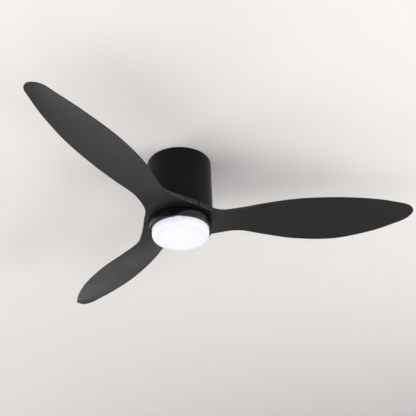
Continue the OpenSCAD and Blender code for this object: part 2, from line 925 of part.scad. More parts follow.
module pan_screws() {
    color("dimgray")
    light_screw_spots()
        translate([0, 0, pan_in_z])
            rotate([180, 0, 0])
                pan_screw(m4_r, m4_head_r, m4_head_h, pan_wall + light_bracket_t - slip_gap);
}

driver_size = [18, 34, 7];
driver_face_x = -23;

module led_driver() {
    color([0.12, 0.12, 0.12])
    translate([driver_face_x - driver_size[0], -driver_size[1] / 2, pan_in_z - driver_size[2]])
        cube(driver_size);
}

module led_board() {
    color("whitesmoke")
    difference() {
        disc(led_board_r, board_top_z, board_top_z - board_t);
        disc(board_hole_r, board_top_z + eps, board_top_z - board_t - eps);
        board_screw_spots()
            disc(m3_r + slip_gap, board_top_z + eps, board_top_z - board_t - eps);
    }
}

module led_chips() {
    color([1, 0.95, 0.7])
    for (place = chip_rings)
        around(place[1])
            translate([place[0] - chip_w / 2, -chip_w / 2, board_top_z - board_t - chip_h])
                cube([chip_w, chip_w, chip_h]);
}

module led_screws() {
    color("silver")
    board_screw_spots()
        translate([0, 0, board_top_z - board_t])
            rotate([180, 0, 0])
                pan_screw(m3_r, m3_head_r, m3_head_h, board_t + 6);
}

module diffuser_profile(r, low, round_r) {
    translate([0, low + round_r])
        square([r, diffuser_top_z - low - round_r]);
    translate([0, low])
        square([r - round_r, round_r + eps]);
    translate([r - round_r, low + round_r])
        circle(r = round_r, $fn = boss_fn);
}

module diffuser() {
    color([0.97, 0.98, 1])
    union() {
        difference() {
            rotate_extrude($fn = 96)
                diffuser_profile(diffuser_r, diffuser_low_z, diffuser_round);
            rotate_extrude($fn = 96)
                diffuser_profile(diffuser_r - diffuser_wall, diffuser_low_z + diffuser_wall,
                                 diffuser_round - diffuser_wall);
            disc(diffuser_r - diffuser_wall, diffuser_top_z + 1, diffuser_top_z - 1);
        }
        for (i = [0 : lug_count - 1])
            arc_block(diffuser_r - diffuser_wall / 2, diffuser_r + lug_out, lug_low_z + lug_h, lug_low_z,
                      i * 360 / lug_count - lug_angle / 2, lug_angle);
    }
}

// ---------- Controller, terminal block and leads ----------

controller_centre = [controller_x + controller_size[0] / 2, 0, plate_top_z];
lid_t = 2;
case_h = controller_size[2] - lid_t;

module controller_ear_places() {
    for (side = [-1, 1])
        translate([controller_centre[0], side * (controller_size[1] / 2 + controller_ear / 2), 0])
            children();
}

module controller_case() {
    color([0.15, 0.15, 0.16])
    difference() {
        union() {
            translate([controller_x, -controller_size[1] / 2, plate_top_z])
                cube([controller_size[0], controller_size[1], case_h]);
            controller_ear_places()
                disc(controller_ear / 2 + 1, plate_top_z + controller_ear_t, plate_top_z);
        }
        translate([controller_x + controller_wall, -controller_size[1] / 2 + controller_wall,
                   plate_top_z + controller_wall])
            cube([controller_size[0] - 2 * controller_wall, controller_size[1] - 2 * controller_wall,
                  case_h]);
        controller_ear_places()
            disc(m4_r + slip_gap, plate_top_z + controller_ear_t + eps, plate_top_z - eps);
        for (y = [-wire_port_y, 0, wire_port_y])
            translate([controller_x - eps, y, case_entry_z])
                rotate([0, 90, 0])
                    cylinder(r = wire_port_r, h = controller_wall + 2 * eps, $fn = boss_fn);
    }
}

module controller_lid() {
    color([0.15, 0.15, 0.16])
    union() {
        translate([controller_x, -controller_size[1] / 2, plate_top_z + case_h])
            cube([controller_size[0], controller_size[1], lid_t]);
        translate([controller_x + controller_wall + slip_gap,
                   -controller_size[1] / 2 + controller_wall + slip_gap, plate_top_z + case_h - 2])
            cube([controller_size[0] - 2 * (controller_wall + slip_gap),
                  controller_size[1] - 2 * (controller_wall + slip_gap), 2 + eps]);
    }
}

board_rise = 5;
controller_board_t = 1.6;
controller_board_z = plate_top_z + controller_wall + board_rise;

module controller_board() {
    inset = controller_wall + 1;
    color("darkgreen")
    difference() {
        translate([controller_x + inset, -controller_size[1] / 2 + inset, controller_board_z])
            cube([controller_size[0] - 2 * inset, controller_size[1] - 2 * inset, controller_board_t]);
        for (side = [-1, 1])
            translate([controller_centre[0], side * (controller_size[1] / 2 - inset - 4), 0])
                disc(1.6, controller_board_z + 5, controller_board_z - 1);
    }
}

module controller_parts() {
    top = controller_board_z + controller_board_t;
    part_x = controller_centre[0] + 6;
    color([0.2, 0.2, 0.22])
    union() {
        for (y = [-16, 0])
            translate([part_x, y, top])
                cylinder(r = 5, h = 13, $fn = boss_fn);
        translate([part_x - 5, 10, top])
            cube([12, 12, 9]);
        for (y = [-22, -8, 6])
            translate([part_x - 18, y, top])
                cube([7, 7, 2]);
    }
}

module controller_screws() {
    color("dimgray")
    controller_ear_places()
        translate([0, 0, plate_top_z + controller_ear_t])
            pan_screw(m4_r, m4_head_r, m4_head_h, controller_ear_t + plate_t - slip_gap);
}

module terminal_places() {
    for (i = [-1 : 1], row = [-1, 1])
        translate([terminal_x + terminal_size[0] / 2 + row * terminal_row, i * terminal_pitch, 0])
            children();
}

module terminal_block() {
    color("ivory")
    difference() {
        translate([terminal_x, -terminal_size[1] / 2, plate_top_z])
            cube(terminal_size);
        terminal_places()
            disc(terminal_well_r, plate_top_z + terminal_size[2] + eps, plate_top_z + terminal_floor);
        for (i = [-1 : 1], side = [0, 1])
            translate([terminal_x + side * (terminal_size[0] - terminal_port_l) - (1 - side) * eps,
                       i * terminal_pitch, terminal_entry_z])
                rotate([0, 90, 0])
                    cylinder(r = terminal_port_r, h = terminal_port_l + eps, $fn = boss_fn);
    }
}

module terminal_screws() {
    screw_h = 6;
    slot_half = 0.4;
    slot_depth = 1;
    top = plate_top_z + terminal_floor + screw_h;
    color("gold")
    terminal_places()
        difference() {
            disc(terminal_screw_r, top, top - screw_h);
            translate([-terminal_well_r, -slot_half, top - slot_depth])
                cube([2 * terminal_well_r, 2 * slot_half, slot_depth + 1]);
        }
}

module earth_screw() {
    color("green")
    translate([earth_place[0], earth_place[1], -bracket_t - earth_eye_t])
        rotate([180, 0, 0])
            pan_screw(m4_r, m4_head_r, m4_head_h, bracket_t + earth_eye_t - slip_gap);
}

// Where the leads enter the controller's near side and the terminal block's inner side
case_entry_z = plate_top_z + wire_port_rise;
terminal_inner_x = terminal_x + terminal_size[0];
terminal_entry_z = plate_top_z + terminal_port_rise;

module earth_lead() {
    eye_r = 4.5;
    place = [earth_place[0] - eye_r, earth_place[1], -bracket_t - lead_r - press_gap];
    color("limegreen") {
        translate([earth_place[0], earth_place[1], -bracket_t])
            ring(m4_r + slip_gap, eye_r, 0, -earth_eye_t);
        wire([[place[0] + 0.6, place[1], place[2]], [place[0] - 4, place[1], place[2] - 0.6],
              [place[0] - 9, place[1], place[2] - 5],
              [0, -30, -30], [-18, -12, -50],
              [terminal_inner_x + 16, -terminal_pitch, terminal_entry_z + 5],
              [terminal_inner_x + 9, -terminal_pitch, terminal_entry_z],
              [terminal_inner_x + 3, -terminal_pitch, terminal_entry_z],
              [terminal_inner_x - 4, -terminal_pitch, terminal_entry_z]]);
    }
}

module supply_leads() {
    color("saddlebrown")
    for (i = [0, 1])
        wire([[terminal_inner_x - 4, i * terminal_pitch, terminal_entry_z],
              [terminal_inner_x + 3, i * terminal_pitch, terminal_entry_z],
              [terminal_inner_x + 8, i * terminal_pitch, terminal_entry_z],
              [terminal_inner_x + 16, i * terminal_pitch + 3, terminal_entry_z + 12],
              [-6, 14 + 5 * i, case_entry_z + 14],
              [8, 17 + 3 * i, case_entry_z + 8],
              [16, 17 + 3 * i, case_entry_z],
              [controller_x - 3, 17 + 3 * i, case_entry_z],
              [controller_x + 4, 17 + 3 * i, case_entry_z]]);
}

module motor_leads() {
    lift = shaft_top_z + 4;
    color("crimson")
    for (i = [-1 : 1])
        wire([[core_hub_r - 3, 2.2 * i, stator_top_z + insulator_t + 1],
              [shaft_r + 4, 1.9 * i, wire_hole_z],
              [shaft_r - 3, 1.8 * i, wire_hole_z + 0.2],
              [3.4 - abs(i) * 0.4, 1.9 * i, wire_hole_z + 8],
              [3.4 - abs(i) * 0.4, 1.9 * i, shaft_top_z - 12],
              [3.6, 2.1 * i, lift],
              [11, 2.6 * i, lift + 7],
              [17, 2.3 * i, case_entry_z + 2],
              [controller_x - 3, 2.2 * i, case_entry_z],
              [controller_x + 4, 2.2 * i, case_entry_z]], r = 0.8);
}

module light_leads() {
    lift = shaft_top_z + 4;
    color("white")
    for (i = [-1, 1])
        wire([[driver_face_x + press_gap, 4 * i, pan_in_z - 4],
              [driver_face_x + 4, 4 * i, pan_in_z - 4.5],
              [-12, 3 * i, shaft_low_z - 2],
              [-6.8, 2.3 * i, shaft_low_z - 2],
              [-4.2, 1.9 * i, shaft_low_z + 0.5],
              [-4, 1.6 * i, shaft_low_z + 8],
              [-4, 1.6 * i, stator_mid_z],
              [-4, 1.6 * i, shaft_top_z - 10],
              [-4, 1.6 * i, lift],
              [2, -14 + 2 * i, lift + 12],
              [15, -18 + 1.5 * i, case_entry_z + 2],
              [controller_x - 3, -18 + 1.5 * i, case_entry_z],
              [controller_x + 4, -18 + 1.5 * i, case_entry_z]], r = 0.9);
}

mounting_bracket();
housing_shell();
housing_screws();
hanger_legs();
bracket_screws();
plate_screws();
motor_plate();
shaft();
shaft_washer();
shaft_nut();
bearing_sleeve();
upper_inner_race();
upper_outer_race();
upper_balls();
upper_cage();
lower_inner_race();
lower_outer_race();
lower_balls();
lower_cage();
circlips();
stator_core();
stator_insulators();
stator_windings();
rotor_magnets();
rotor_yoke();
rotor_cover();
rotor_base();
rotor_screws();
blade_pads();
blade_1();
blade_2();
blade_3();
blade_screws();
light_bracket();
light_nuts();
light_pan();
pan_screws();
led_driver();
led_board();
led_chips();
led_screws();
diffuser();
controller_case();
controller_lid();
controller_board();
controller_parts();
controller_screws();
terminal_block();
terminal_screws();
earth_screw();
earth_lead();
supply_leads();
motor_leads();
light_leads();
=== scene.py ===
"""Looks of a flush-mount ceiling fan: black drum housing, three moulded blades and a round lit light."""

import json
import logging
import math
from dataclasses import dataclass
from enum import Enum

import bmesh
import bpy
from mathutils import Matrix, Vector


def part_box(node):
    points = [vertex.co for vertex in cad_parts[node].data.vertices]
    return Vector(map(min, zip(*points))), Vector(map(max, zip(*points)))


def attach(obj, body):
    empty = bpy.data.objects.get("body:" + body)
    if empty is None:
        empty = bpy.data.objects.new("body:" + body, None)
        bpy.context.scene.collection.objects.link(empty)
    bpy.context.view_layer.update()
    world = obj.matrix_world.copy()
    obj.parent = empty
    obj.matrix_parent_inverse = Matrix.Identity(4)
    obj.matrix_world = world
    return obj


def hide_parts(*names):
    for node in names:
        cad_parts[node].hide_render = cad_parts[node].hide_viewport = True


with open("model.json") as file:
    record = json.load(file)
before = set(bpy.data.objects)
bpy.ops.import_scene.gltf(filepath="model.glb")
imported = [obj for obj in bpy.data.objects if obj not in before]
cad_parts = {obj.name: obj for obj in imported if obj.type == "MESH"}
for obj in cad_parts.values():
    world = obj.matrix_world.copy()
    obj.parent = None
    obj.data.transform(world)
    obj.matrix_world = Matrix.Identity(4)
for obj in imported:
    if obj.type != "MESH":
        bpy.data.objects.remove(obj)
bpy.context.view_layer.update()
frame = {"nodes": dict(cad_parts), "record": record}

logging.basicConfig(level=logging.INFO, format="%(message)s")
log = logging.getLogger("ceiling_fan")

MM = 0.001
ROOT_HEIGHT = 14.0  # of the blades' roots, in millimetres

Object = bpy.types.Object
Material = bpy.types.Material
Socket = bpy.types.NodeSocket
Point = tuple[float, float, float]
Spot = tuple[float, float]


# ---------- Shader maths ----------

class Value:
    """A shader socket that takes part in Python expressions, each adding its own Math node."""

    def __init__(self, shader: "Shader", socket: Socket) -> None:
        """Wraps an output socket of a shader's material."""
        self.shader = shader
        self.socket = socket

    def _math(self, operation: str, first: object, second: object = None) -> "Value":
        """Adds a Math node."""
        inputs = {0: first} if second is None else {0: first, 1: second}
        return self.shader.node("ShaderNodeMath", {"operation": operation}, inputs)

    def __add__(self, other: object) -> "Value":
        """Sum."""
        return self._math("ADD", self, other)

    __radd__ = __add__

    def __sub__(self, other: object) -> "Value":
        """Difference."""
        return self._math("SUBTRACT", self, other)

    def __rsub__(self, other: object) -> "Value":
        """Difference from a number."""
        return self._math("SUBTRACT", other, self)

    def __mul__(self, other: object) -> "Value":
        """Product."""
        return self._math("MULTIPLY", self, other)

    __rmul__ = __mul__

    def __truediv__(self, other: object) -> "Value":
        """Quotient."""
        return self._math("DIVIDE", self, other)

    def __pow__(self, other: object) -> "Value":
        """Power."""
        return self._math("POWER", self, other)

    def sine(self) -> "Value":
        """Sine of an angle in radians."""
        return self._math("SINE", self)

    def between(self, low: float, high: float) -> "Value":
        """Smooth step from 0 at low to 1 at high."""
        inputs = {"Value": self, "From Min": low, "From Max": high}
        return self.shader.node("ShaderNodeMapRange", {"interpolation_type": "SMOOTHSTEP"}, inputs)


class Shader:
    """A material under construction, with a Principled shader wired to its output."""

    def __init__(self, name: str) -> None:
        """Args:
            name: the material's name.
        """
        self.material = bpy.data.materials.new(name)
        self.material.use_nodes = True
        self.tree = self.material.node_tree
        self.tree.nodes.clear()
        self.output = self.tree.nodes.new("ShaderNodeOutputMaterial")
        self.principled = self.tree.nodes.new("ShaderNodeBsdfPrincipled")
        self.tree.links.new(self.principled.outputs[0], self.output.inputs["Surface"])

    def plug(self, socket: Socket, value: object) -> None:
        """Links a Value to a socket, or sets the socket to a plain value.

        Args:
            socket: the input socket.
            value: a Value, a number or a tuple.
        """
        if isinstance(value, Value):
            self.tree.links.new(value.socket, socket)
        elif isinstance(value, tuple) and socket.type == "RGBA":
            socket.default_value = (*value[:3], 1.0)
        else:
            socket.default_value = value

    def node(self, kind: str, settings: dict, inputs: dict, result: object = 0) -> Value:
        """Adds a node.

        Args:
            kind: the node's type.
            settings: attributes set before the sockets.
            inputs: values or links by socket name or number.
            result: the name or number of the output wanted.

        Returns:
            The wanted output.
        """
        made = self.tree.nodes.new(kind)
        for key, setting in settings.items():
            setattr(made, key, setting)
        for key, value in inputs.items():
            self.plug(made.inputs[key], value)
        return Value(self, made.outputs[result])

    def place(self) -> Value:
        """Object coordinates, in metres."""
        return self.node("ShaderNodeTexCoord", {}, {}, "Object")

    def stretched(self, scale: Point) -> Value:
        """Object coordinates stretched along the axes."""
        return self.node("ShaderNodeMapping", {}, {"Vector": self.place(), "Scale": scale})

    def noise(self, size: float, detail: float = 3.0, at: Value | None = None) -> Value:
        """Noise from 0 to 1 with bumps about as wide as size."""
        inputs = {"Vector": at or self.place(), "Scale": 1.0 / size, "Detail": detail, "Roughness": 0.55}
        return self.node("ShaderNodeTexNoise", {}, inputs, "Fac")

    def cells(self, size: float) -> Value:
        """Distance to the nearest of scattered points, for grains."""
        inputs = {"Vector": self.place(), "Scale": 1.0 / size, "Randomness": 1.0}
        return self.node("ShaderNodeTexVoronoi", {"feature": "F1"}, inputs, "Distance")

    def axes(self) -> tuple[Value, Value, Value]:
        """The three object coordinates as separate values."""
        split = self.node("ShaderNodeSeparateXYZ", {}, {0: self.place()})
        outputs = split.socket.node.outputs
        return tuple(Value(self, outputs[i]) for i in range(3))

    def radius(self) -> Value:
        """Distance from the fan's axis, in metres."""
        x, y, _ = self.axes()
        return (x * x + y * y) ** 0.5

    def mixed(self, low: tuple, high: tuple, share: Value) -> Value:
        """Colour between two colours."""
        inputs = {0: share, 6: low, 7: high}
        return self.node("ShaderNodeMix", {"data_type": "RGBA"}, inputs, 2)

    def bump(self, height: Value, distance: float) -> None:
        """Feeds a height to the shader's normal.

        Args:
            height: height from 0 to 1.
            distance: depth of the relief, in metres.
        """
        normal = self.node("ShaderNodeBump", {}, {"Height": height, "Distance": distance, "Strength": 1.0})
        self.plug(self.principled.inputs["Normal"], normal)

    def surface(self, **values: object) -> None:
        """Sets the Principled shader's sockets, named with underscores for spaces."""
        for key, value in values.items():
            self.plug(self.principled.inputs[key.replace("_", " ").title().replace("Ior", "IOR")], value)


# ---------- Finishes ----------

class Relief(Enum):
    """How a surface was made, which sets its fine relief."""

    POWDER = "powder coat"
    MOULDED = "moulded grain"
    BRUSHED = "drawn along x"
    TURNED = "turned round the axis"
    CAST = "die cast"
    SHEETS = "stacked sheets"
    SPECKLED = "galvanised spangle"


@dataclass(frozen=True)
class Finish:
    """One material slot's look."""

    slot: str  # the record's material slot
    colour: Point  # linear base colour
    relief: Relief  # how the surface was made
    grain: float  # size of the relief's grain, in metres
    depth: float  # depth of the relief, in metres
    roughness: float  # middle roughness
    spread: float = 0.08  # how far the roughness wanders
    metallic: float = 0.0  # 1 for bare metal
    mottle: float = 0.12  # share by which the colour wanders
    mottle_size: float = 0.03  # width of the colour's patches, in metres
    coat: float = 0.0  # clear coat's weight
    shine: float = 0.5  # level of the reflection at normal incidence

    def height(self, shader: Shader) -> Value:
        """The relief's height.

        Args:
            shader: the material to add the nodes to.

        Returns:
            A height from 0 to 1.
        """
        if self.relief is Relief.BRUSHED:
            return shader.noise(self.grain, 4.0, shader.stretched((0.03, 1.0, 1.0)))
        if self.relief is Relief.TURNED:
            _, _, z = shader.axes()
            rings = ((shader.radius() + z * 0.7) * (2 * math.pi / self.grain)).sine() * 0.5 + 0.5
            return rings * 0.6 + shader.noise(self.grain * 6.0) * 0.4
        if self.relief is Relief.SHEETS:
            _, _, z = shader.axes()
            return (z * (2 * math.pi / self.grain)).sine() * 0.5 + 0.5
        if self.relief is Relief.CAST:
            return shader.noise(self.grain, 5.0) * 0.7 + shader.cells(self.grain * 4.0) * 0.3
        if self.relief is Relief.SPECKLED:
            return shader.cells(self.grain) * 0.6 + shader.noise(self.grain * 0.3) * 0.4
        if self.relief is Relief.MOULDED:
            return shader.cells(self.grain) * 0.5 + shader.noise(self.grain * 1.4, 2.0) * 0.5
        return shader.noise(self.grain, 2.0) * 0.8 + shader.noise(self.grain * 3.0, 1.0) * 0.2

    def build(self) -> Material:
        """Makes the material.

        Returns:
            The finished material.
        """
        shader = Shader(self.slot)
        patches = shader.noise(self.mottle_size, 4.0)
        height = self.height(shader)
        share = (patches * 0.7 + height * 0.3).between(0.25, 0.75)
        dark = tuple(c * (1.0 - self.mottle) for c in self.colour)
        light = tuple(min(c * (1.0 + self.mottle), 1.0) for c in self.colour)
        rough = (patches - 0.5) * (2.0 * self.spread) + self.roughness
        shader.surface(base_color=shader.mixed(dark, light, share), metallic=self.metallic, roughness=rough,
                       coat_weight=self.coat, specular_ior_level=self.shine)
        shader.bump(height, self.depth)
        return shader.material


@dataclass(frozen=True)
class OpalAcrylic:
    """White opal acrylic lit from behind, a little dimmer towards its rim."""

    slot: str = "opal_diffuser"  # the record's material slot
    glow: float = 0.5  # brightness of the middle
    rim_r: float = 0.079  # radius of the diffuser, in metres

    def build(self) -> Material:
        """Makes the material.

        Returns:
            The finished material.
        """
        shader = Shader(self.slot)
        from_rim = (1.0 - shader.radius() / self.rim_r).between(-0.05, 0.45)
        haze = shader.noise(0.02, 3.0) * 0.12 + 0.9
        lit = shader.mixed((0.78, 0.83, 0.92), (0.97, 0.98, 1.0), from_rim * haze)
        cast = shader.mixed((0.42, 0.43, 0.45), (0.46, 0.47, 0.48), haze)
        shader.surface(base_color=cast, roughness=shader.noise(0.004) * 0.1 + 0.28, ior=1.49,
                       emission_color=lit, emission_strength=self.glow)
        shader.bump(shader.noise(0.0012, 2.0), 0.00001)
        return shader.material


@dataclass(frozen=True)
class StripedWire:
    """Wire insulation in one colour, or striped along with a second."""

    slot: str  # the record's material slot
    colour: Point  # linear base colour
    stripe: Point  # second colour, the same as the first on plain wire

    def build(self) -> Material:
        """Makes the material.

        Returns:
            The finished material.
        """
        shader = Shader(self.slot)
        x, y, z = shader.axes()
        band = ((x + y * 1.3 + z * 0.8) * 700.0).sine().between(-0.2, 0.2)
        scuffs = shader.noise(0.003, 3.0)
        shader.surface(base_color=shader.mixed(self.colour, self.stripe, band), roughness=scuffs * 0.25 + 0.3)
        shader.bump(scuffs, 0.00003)
        return shader.material


@dataclass(frozen=True)
class CircuitBoard:
    """Solder mask with faint traces under it and bright pads."""

    slot: str  # the record's material slot
    mask: Point  # colour of the solder mask
    trace: Point  # colour of the mask over a trace
    pitch: float = 0.0035  # distance between traces, in metres

    def build(self) -> Material:
        """Makes the material.

        Returns:
            The finished material.
        """
        shader = Shader(self.slot)
        settings = {"offset": 0.37, "squash": 0.6}
        white, black = (1, 1, 1), (0, 0, 0)
        inputs = {"Vector": shader.place(), "Scale": 1.0 / self.pitch, "Mortar Size": 0.09,
                  "Color1": white, "Color2": white, "Mortar": black}
        lines = shader.node("ShaderNodeTexBrick", settings, inputs, "Fac")
        shader.surface(base_color=shader.mixed(self.mask, self.trace, lines),
                       roughness=shader.noise(0.002) * 0.15 + 0.2)
        shader.bump(lines, 0.00003)
        return shader.material


FINISHES = [
    Finish("black_paint", (0.004, 0.004, 0.0039), Relief.POWDER, 0.0009, 0.00003, 0.38, mottle=0.15,
           shine=0.1),
    Finish("blade_plastic", (0.005, 0.005, 0.0049), Relief.MOULDED, 0.0007, 0.00003, 0.4, mottle=0.15,
           mottle_size=0.06),
    Finish("pan_gloss", (0.002, 0.002, 0.0021), Relief.POWDER, 0.0014, 0.00001, 0.14, spread=0.03, shine=0.4),
    Finish("black_screws", (0.02, 0.02, 0.022), Relief.TURNED, 0.0004, 0.00002, 0.38, coat=0.2),
    Finish("zinc_sheet", (0.62, 0.63, 0.64), Relief.SPECKLED, 0.006, 0.00003, 0.34, metallic=1.0),
    Finish("zinc_screws", (0.58, 0.58, 0.57), Relief.TURNED, 0.0005, 0.00003, 0.3, metallic=1.0),
    Finish("turned_steel", (0.5, 0.5, 0.51), Relief.TURNED, 0.0004, 0.00003, 0.3, metallic=1.0),
    Finish("bearing_steel", (0.72, 0.72, 0.73), Relief.TURNED, 0.0003, 0.00001, 0.14, 0.04, metallic=1.0),
    Finish("bearing_balls", (0.85, 0.85, 0.86), Relief.POWDER, 0.001, 0.000004, 0.07, 0.02, metallic=1.0),
    Finish("bearing_cage", (0.72, 0.52, 0.22), Relief.BRUSHED, 0.0004, 0.00002, 0.3, metallic=1.0),
    Finish("spring_steel", (0.2, 0.2, 0.23), Relief.TURNED, 0.0004, 0.00002, 0.32, metallic=1.0),
    Finish("laminated_steel", (0.3, 0.31, 0.33), Relief.SHEETS, 0.0005, 0.0001, 0.45, metallic=1.0),
    Finish("ivory_plastic", (0.82, 0.8, 0.72), Relief.MOULDED, 0.0008, 0.00004, 0.42, mottle=0.04),
    Finish("copper_wire", (0.72, 0.3, 0.11), Relief.BRUSHED, 0.0006, 0.00003, 0.26, metallic=1.0, coat=0.6),
    Finish("magnet", (0.25, 0.25, 0.27), Relief.CAST, 0.0006, 0.00004, 0.36, metallic=0.8),
    Finish("cast_aluminium", (0.62, 0.63, 0.64), Relief.CAST, 0.0012, 0.0001, 0.46, metallic=1.0),
    Finish("black_rubber", (0.03, 0.03, 0.03), Relief.MOULDED, 0.001, 0.00006, 0.75),
    Finish("black_plastic", (0.045, 0.045, 0.05), Relief.MOULDED, 0.0008, 0.00006, 0.5),
    Finish("led_phosphor", (0.95, 0.82, 0.35), Relief.MOULDED, 0.0004, 0.00003, 0.35, mottle=0.05),
    Finish("dark_components", (0.06, 0.06, 0.07), Relief.MOULDED, 0.0006, 0.00003, 0.35),
    Finish("brass_screws", (0.7, 0.52, 0.22), Relief.TURNED, 0.0004, 0.00003, 0.26, metallic=1.0),
    CircuitBoard("white_board", (0.86, 0.87, 0.88), (0.72, 0.74, 0.76), 0.009),
    CircuitBoard("green_board", (0.02, 0.16, 0.06), (0.05, 0.3, 0.12)),
    StripedWire("earth_wire", (0.12, 0.42, 0.06), (0.75, 0.65, 0.05)),
    StripedWire("brown_wire", (0.17, 0.07, 0.03), (0.19, 0.08, 0.035)),
    StripedWire("red_wire", (0.45, 0.02, 0.02), (0.5, 0.03, 0.03)),
    StripedWire("white_wire", (0.78, 0.78, 0.76), (0.84, 0.84, 0.84)),
    OpalAcrylic(),
]


# ---------- Mesh helpers ----------

def turned(p: Point, degrees: float) -> Point:
    """Turns a point round the fan's axis."""
    a = math.radians(degrees)
    return (p[0] * math.cos(a) - p[1] * math.sin(a), p[0] * math.sin(a) + p[1] * math.cos(a), p[2])


def blended(a: Point, b: Point, share: float) -> Point:
    """Point between two points."""
    return tuple(x + (y - x) * share for x, y in zip(a, b))


def on_curve(p: list[tuple], t: float) -> tuple:
    """Point on a smooth curve through p, whose first and last points only steer it.

    Args:
        p: the curve's points.
        t: 0 at the second point, len(p) - 3 at the last but one.

    Returns:
        The point at t.
    """
    i = min(int(t), len(p) - 4)
    u = t - i
    out = []
    for a, b, c, d in zip(*p[i:i + 4]):
        square, cube = 2 * a - 5 * b + 4 * c - d, 3 * b - a - 3 * c + d
        out.append((2 * b + (c - a) * u + square * u * u + cube * u ** 3) / 2)
    return tuple(out)


def filleted(corners: list[Point], closed: bool, steps: int = 6) -> list[Spot]:
    """Outline through corners, each rounded by its own radius.

    Args:
        corners: (x, z, radius) of each corner.
        closed: whether the outline comes back to its start.
        steps: points on a rounded corner, less one.

    Returns:
        The outline's points.
    """
    out = []
    count = len(corners)
    for i, (x, z, r) in enumerate(corners):
        here = Vector((x, z))
        ends = i in (0, count - 1) and not closed
        if ends or r <= 0:
            out.append((x, z))
            continue
        before = Vector(corners[i - 1][:2]) - here
        after = Vector(corners[(i + 1) % count][:2]) - here
        opening = before.angle(after)
        cut = min(r / math.tan(opening / 2), before.length * 0.49, after.length * 0.49)
        radius = cut * math.tan(opening / 2)
        inward = (before.normalized() + after.normalized()).normalized()
        middle = here + inward * (radius / math.sin(opening / 2))
        start = here + before.normalized() * cut - middle
        stop = here + after.normalized() * cut - middle
        sweep = start.angle_signed(stop)
        for k in range(steps + 1):
            angle = -sweep * k / steps
            cos, sin = math.cos(angle), math.sin(angle)
            arm = Vector((start.x * cos - start.y * sin, start.x * sin + start.y * cos))
            out.append(tuple(middle + arm))
    return out


def new_object(name: str, mesh: bpy.types.Mesh) -> Object:
    """Object for a mesh, linked to the scene.

    Args:
        name: the object's name.
        mesh: its mesh.

    Returns:
        The object.
    """
    made = bpy.data.objects.new(name, mesh)
    bpy.context.scene.collection.objects.link(made)
    return made


def from_form(name: str, form: bmesh.types.BMesh) -> Object:
    """Object from an edited mesh, which is used up.

    Args:
        name: the object's name.
        form: the edited mesh.

    Returns:
        The object.
    """
    mesh = bpy.data.meshes.new(name)
    form.to_mesh(mesh)
    form.free()
    return new_object(name, mesh)


def mesh_object(name: str, points: list[Point], faces: list[tuple]) -> Object:
    """Closed object from points in millimetres and faces, with the faces turned outwards.

    Args:
        name: the object's name.
        points: the points, in millimetres.
        faces: tuples of point numbers.

    Returns:
        The object, in metres.
    """
    mesh = bpy.data.meshes.new(name)
    mesh.from_pydata([tuple(c * MM for c in p) for p in points], [], faces)
    form = bmesh.new()
    form.from_mesh(mesh)
    bmesh.ops.recalc_face_normals(form, faces=form.faces)
    form.to_mesh(mesh)
    form.free()
    return new_object(name, mesh)


def lathe(name: str, outline: list[Spot], closed: bool, segments: int = 192) -> Object:
    """Solid turned round the fan's axis.

    Args:
        name: the object's name.
        outline: (radius, z) points in millimetres; an open outline starts and ends on the axis.
        closed: whether the outline comes back to its start, off the axis.
        segments: facets round the axis.

    Returns:
        The object, with its faces pointing outwards.
    """
    form = bmesh.new()
    columns = []
    for k in range(segments):
        angle = 2 * math.pi * k / segments
        cos, sin = math.cos(angle), math.sin(angle)
        columns.append([form.verts.new((r * cos * MM, r * sin * MM, z * MM)) for r, z in outline])
    count = len(outline)
    for k in range(segments):
        here, there = columns[k], columns[(k + 1) % segments]
        for i in range(count if closed else count - 1):
            j = (i + 1) % count
            form.faces.new((here[i], here[j], there[j], there[i]))
    bmesh.ops.remove_doubles(form, verts=form.verts, dist=1e-7)
    bmesh.ops.dissolve_degenerate(form, edges=form.edges, dist=1e-8)
    bmesh.ops.recalc_face_normals(form, faces=form.faces)
    return from_form(name, form)


def cylinder(r: float, top: float, low: float, place: Spot = (0, 0), sides: int = 48) -> Object:
    """Upright cylinder to cut with or to join.

    Args:
        r: radius in millimetres.
        top: upper end.
        low: lower end.
        place: x and y of its axis.
        sides: facets.

    Returns:
        The object.
    """
    form = bmesh.new()
    bmesh.ops.create_cone(form, cap_ends=True, segments=sides, radius1=r * MM, radius2=r * MM,
                          depth=(top - low) * MM)
    bmesh.ops.translate(form, verts=form.verts, vec=(place[0] * MM, place[1] * MM, (top + low) / 2 * MM))
    return from_form("tool", form)


def arc_block(r_in: float, r_out: float, top: float, low: float, middle: float,
              sweep: float) -> Object:
    """Piece of a ring.

    Args:
        r_in: inner radius in millimetres.
        r_out: outer radius.
        top: upper face.
        low: lower face.
        middle: angle of its middle, in degrees.
        sweep: angle that it covers.

    Returns:
        The object.
    """
    steps = 8
    points = []
    for k in range(steps + 1):
        angle = middle - sweep / 2 + sweep * k / steps
        corners = ((r_in, 0, low), (r_out, 0, low), (r_out, 0, top), (r_in, 0, top))
        points += [turned(p, angle) for p in corners]
    faces = [(3, 2, 1, 0), tuple(4 * steps + i for i in range(4))]
    for k in range(steps):
        for i in range(4):
            j = (i + 1) % 4
            faces.append((4 * k + i, 4 * k + j, 4 * k + 4 + j, 4 * k + 4 + i))
    return mesh_object("tool", points, faces)


def baked(source: Object, name: str) -> Object:
    """Plain mesh object from an object with modifiers, which is then removed.

    Args:
        source: the object to evaluate.
        name: the new object's name.

    Returns:
        The plain object.
    """
    bpy.context.view_layer.update()
    depsgraph = bpy.context.evaluated_depsgraph_get()
    mesh = bpy.data.meshes.new_from_object(source.evaluated_get(depsgraph))
    bpy.data.objects.remove(source)
    mesh.name = name
    return new_object(name, mesh)


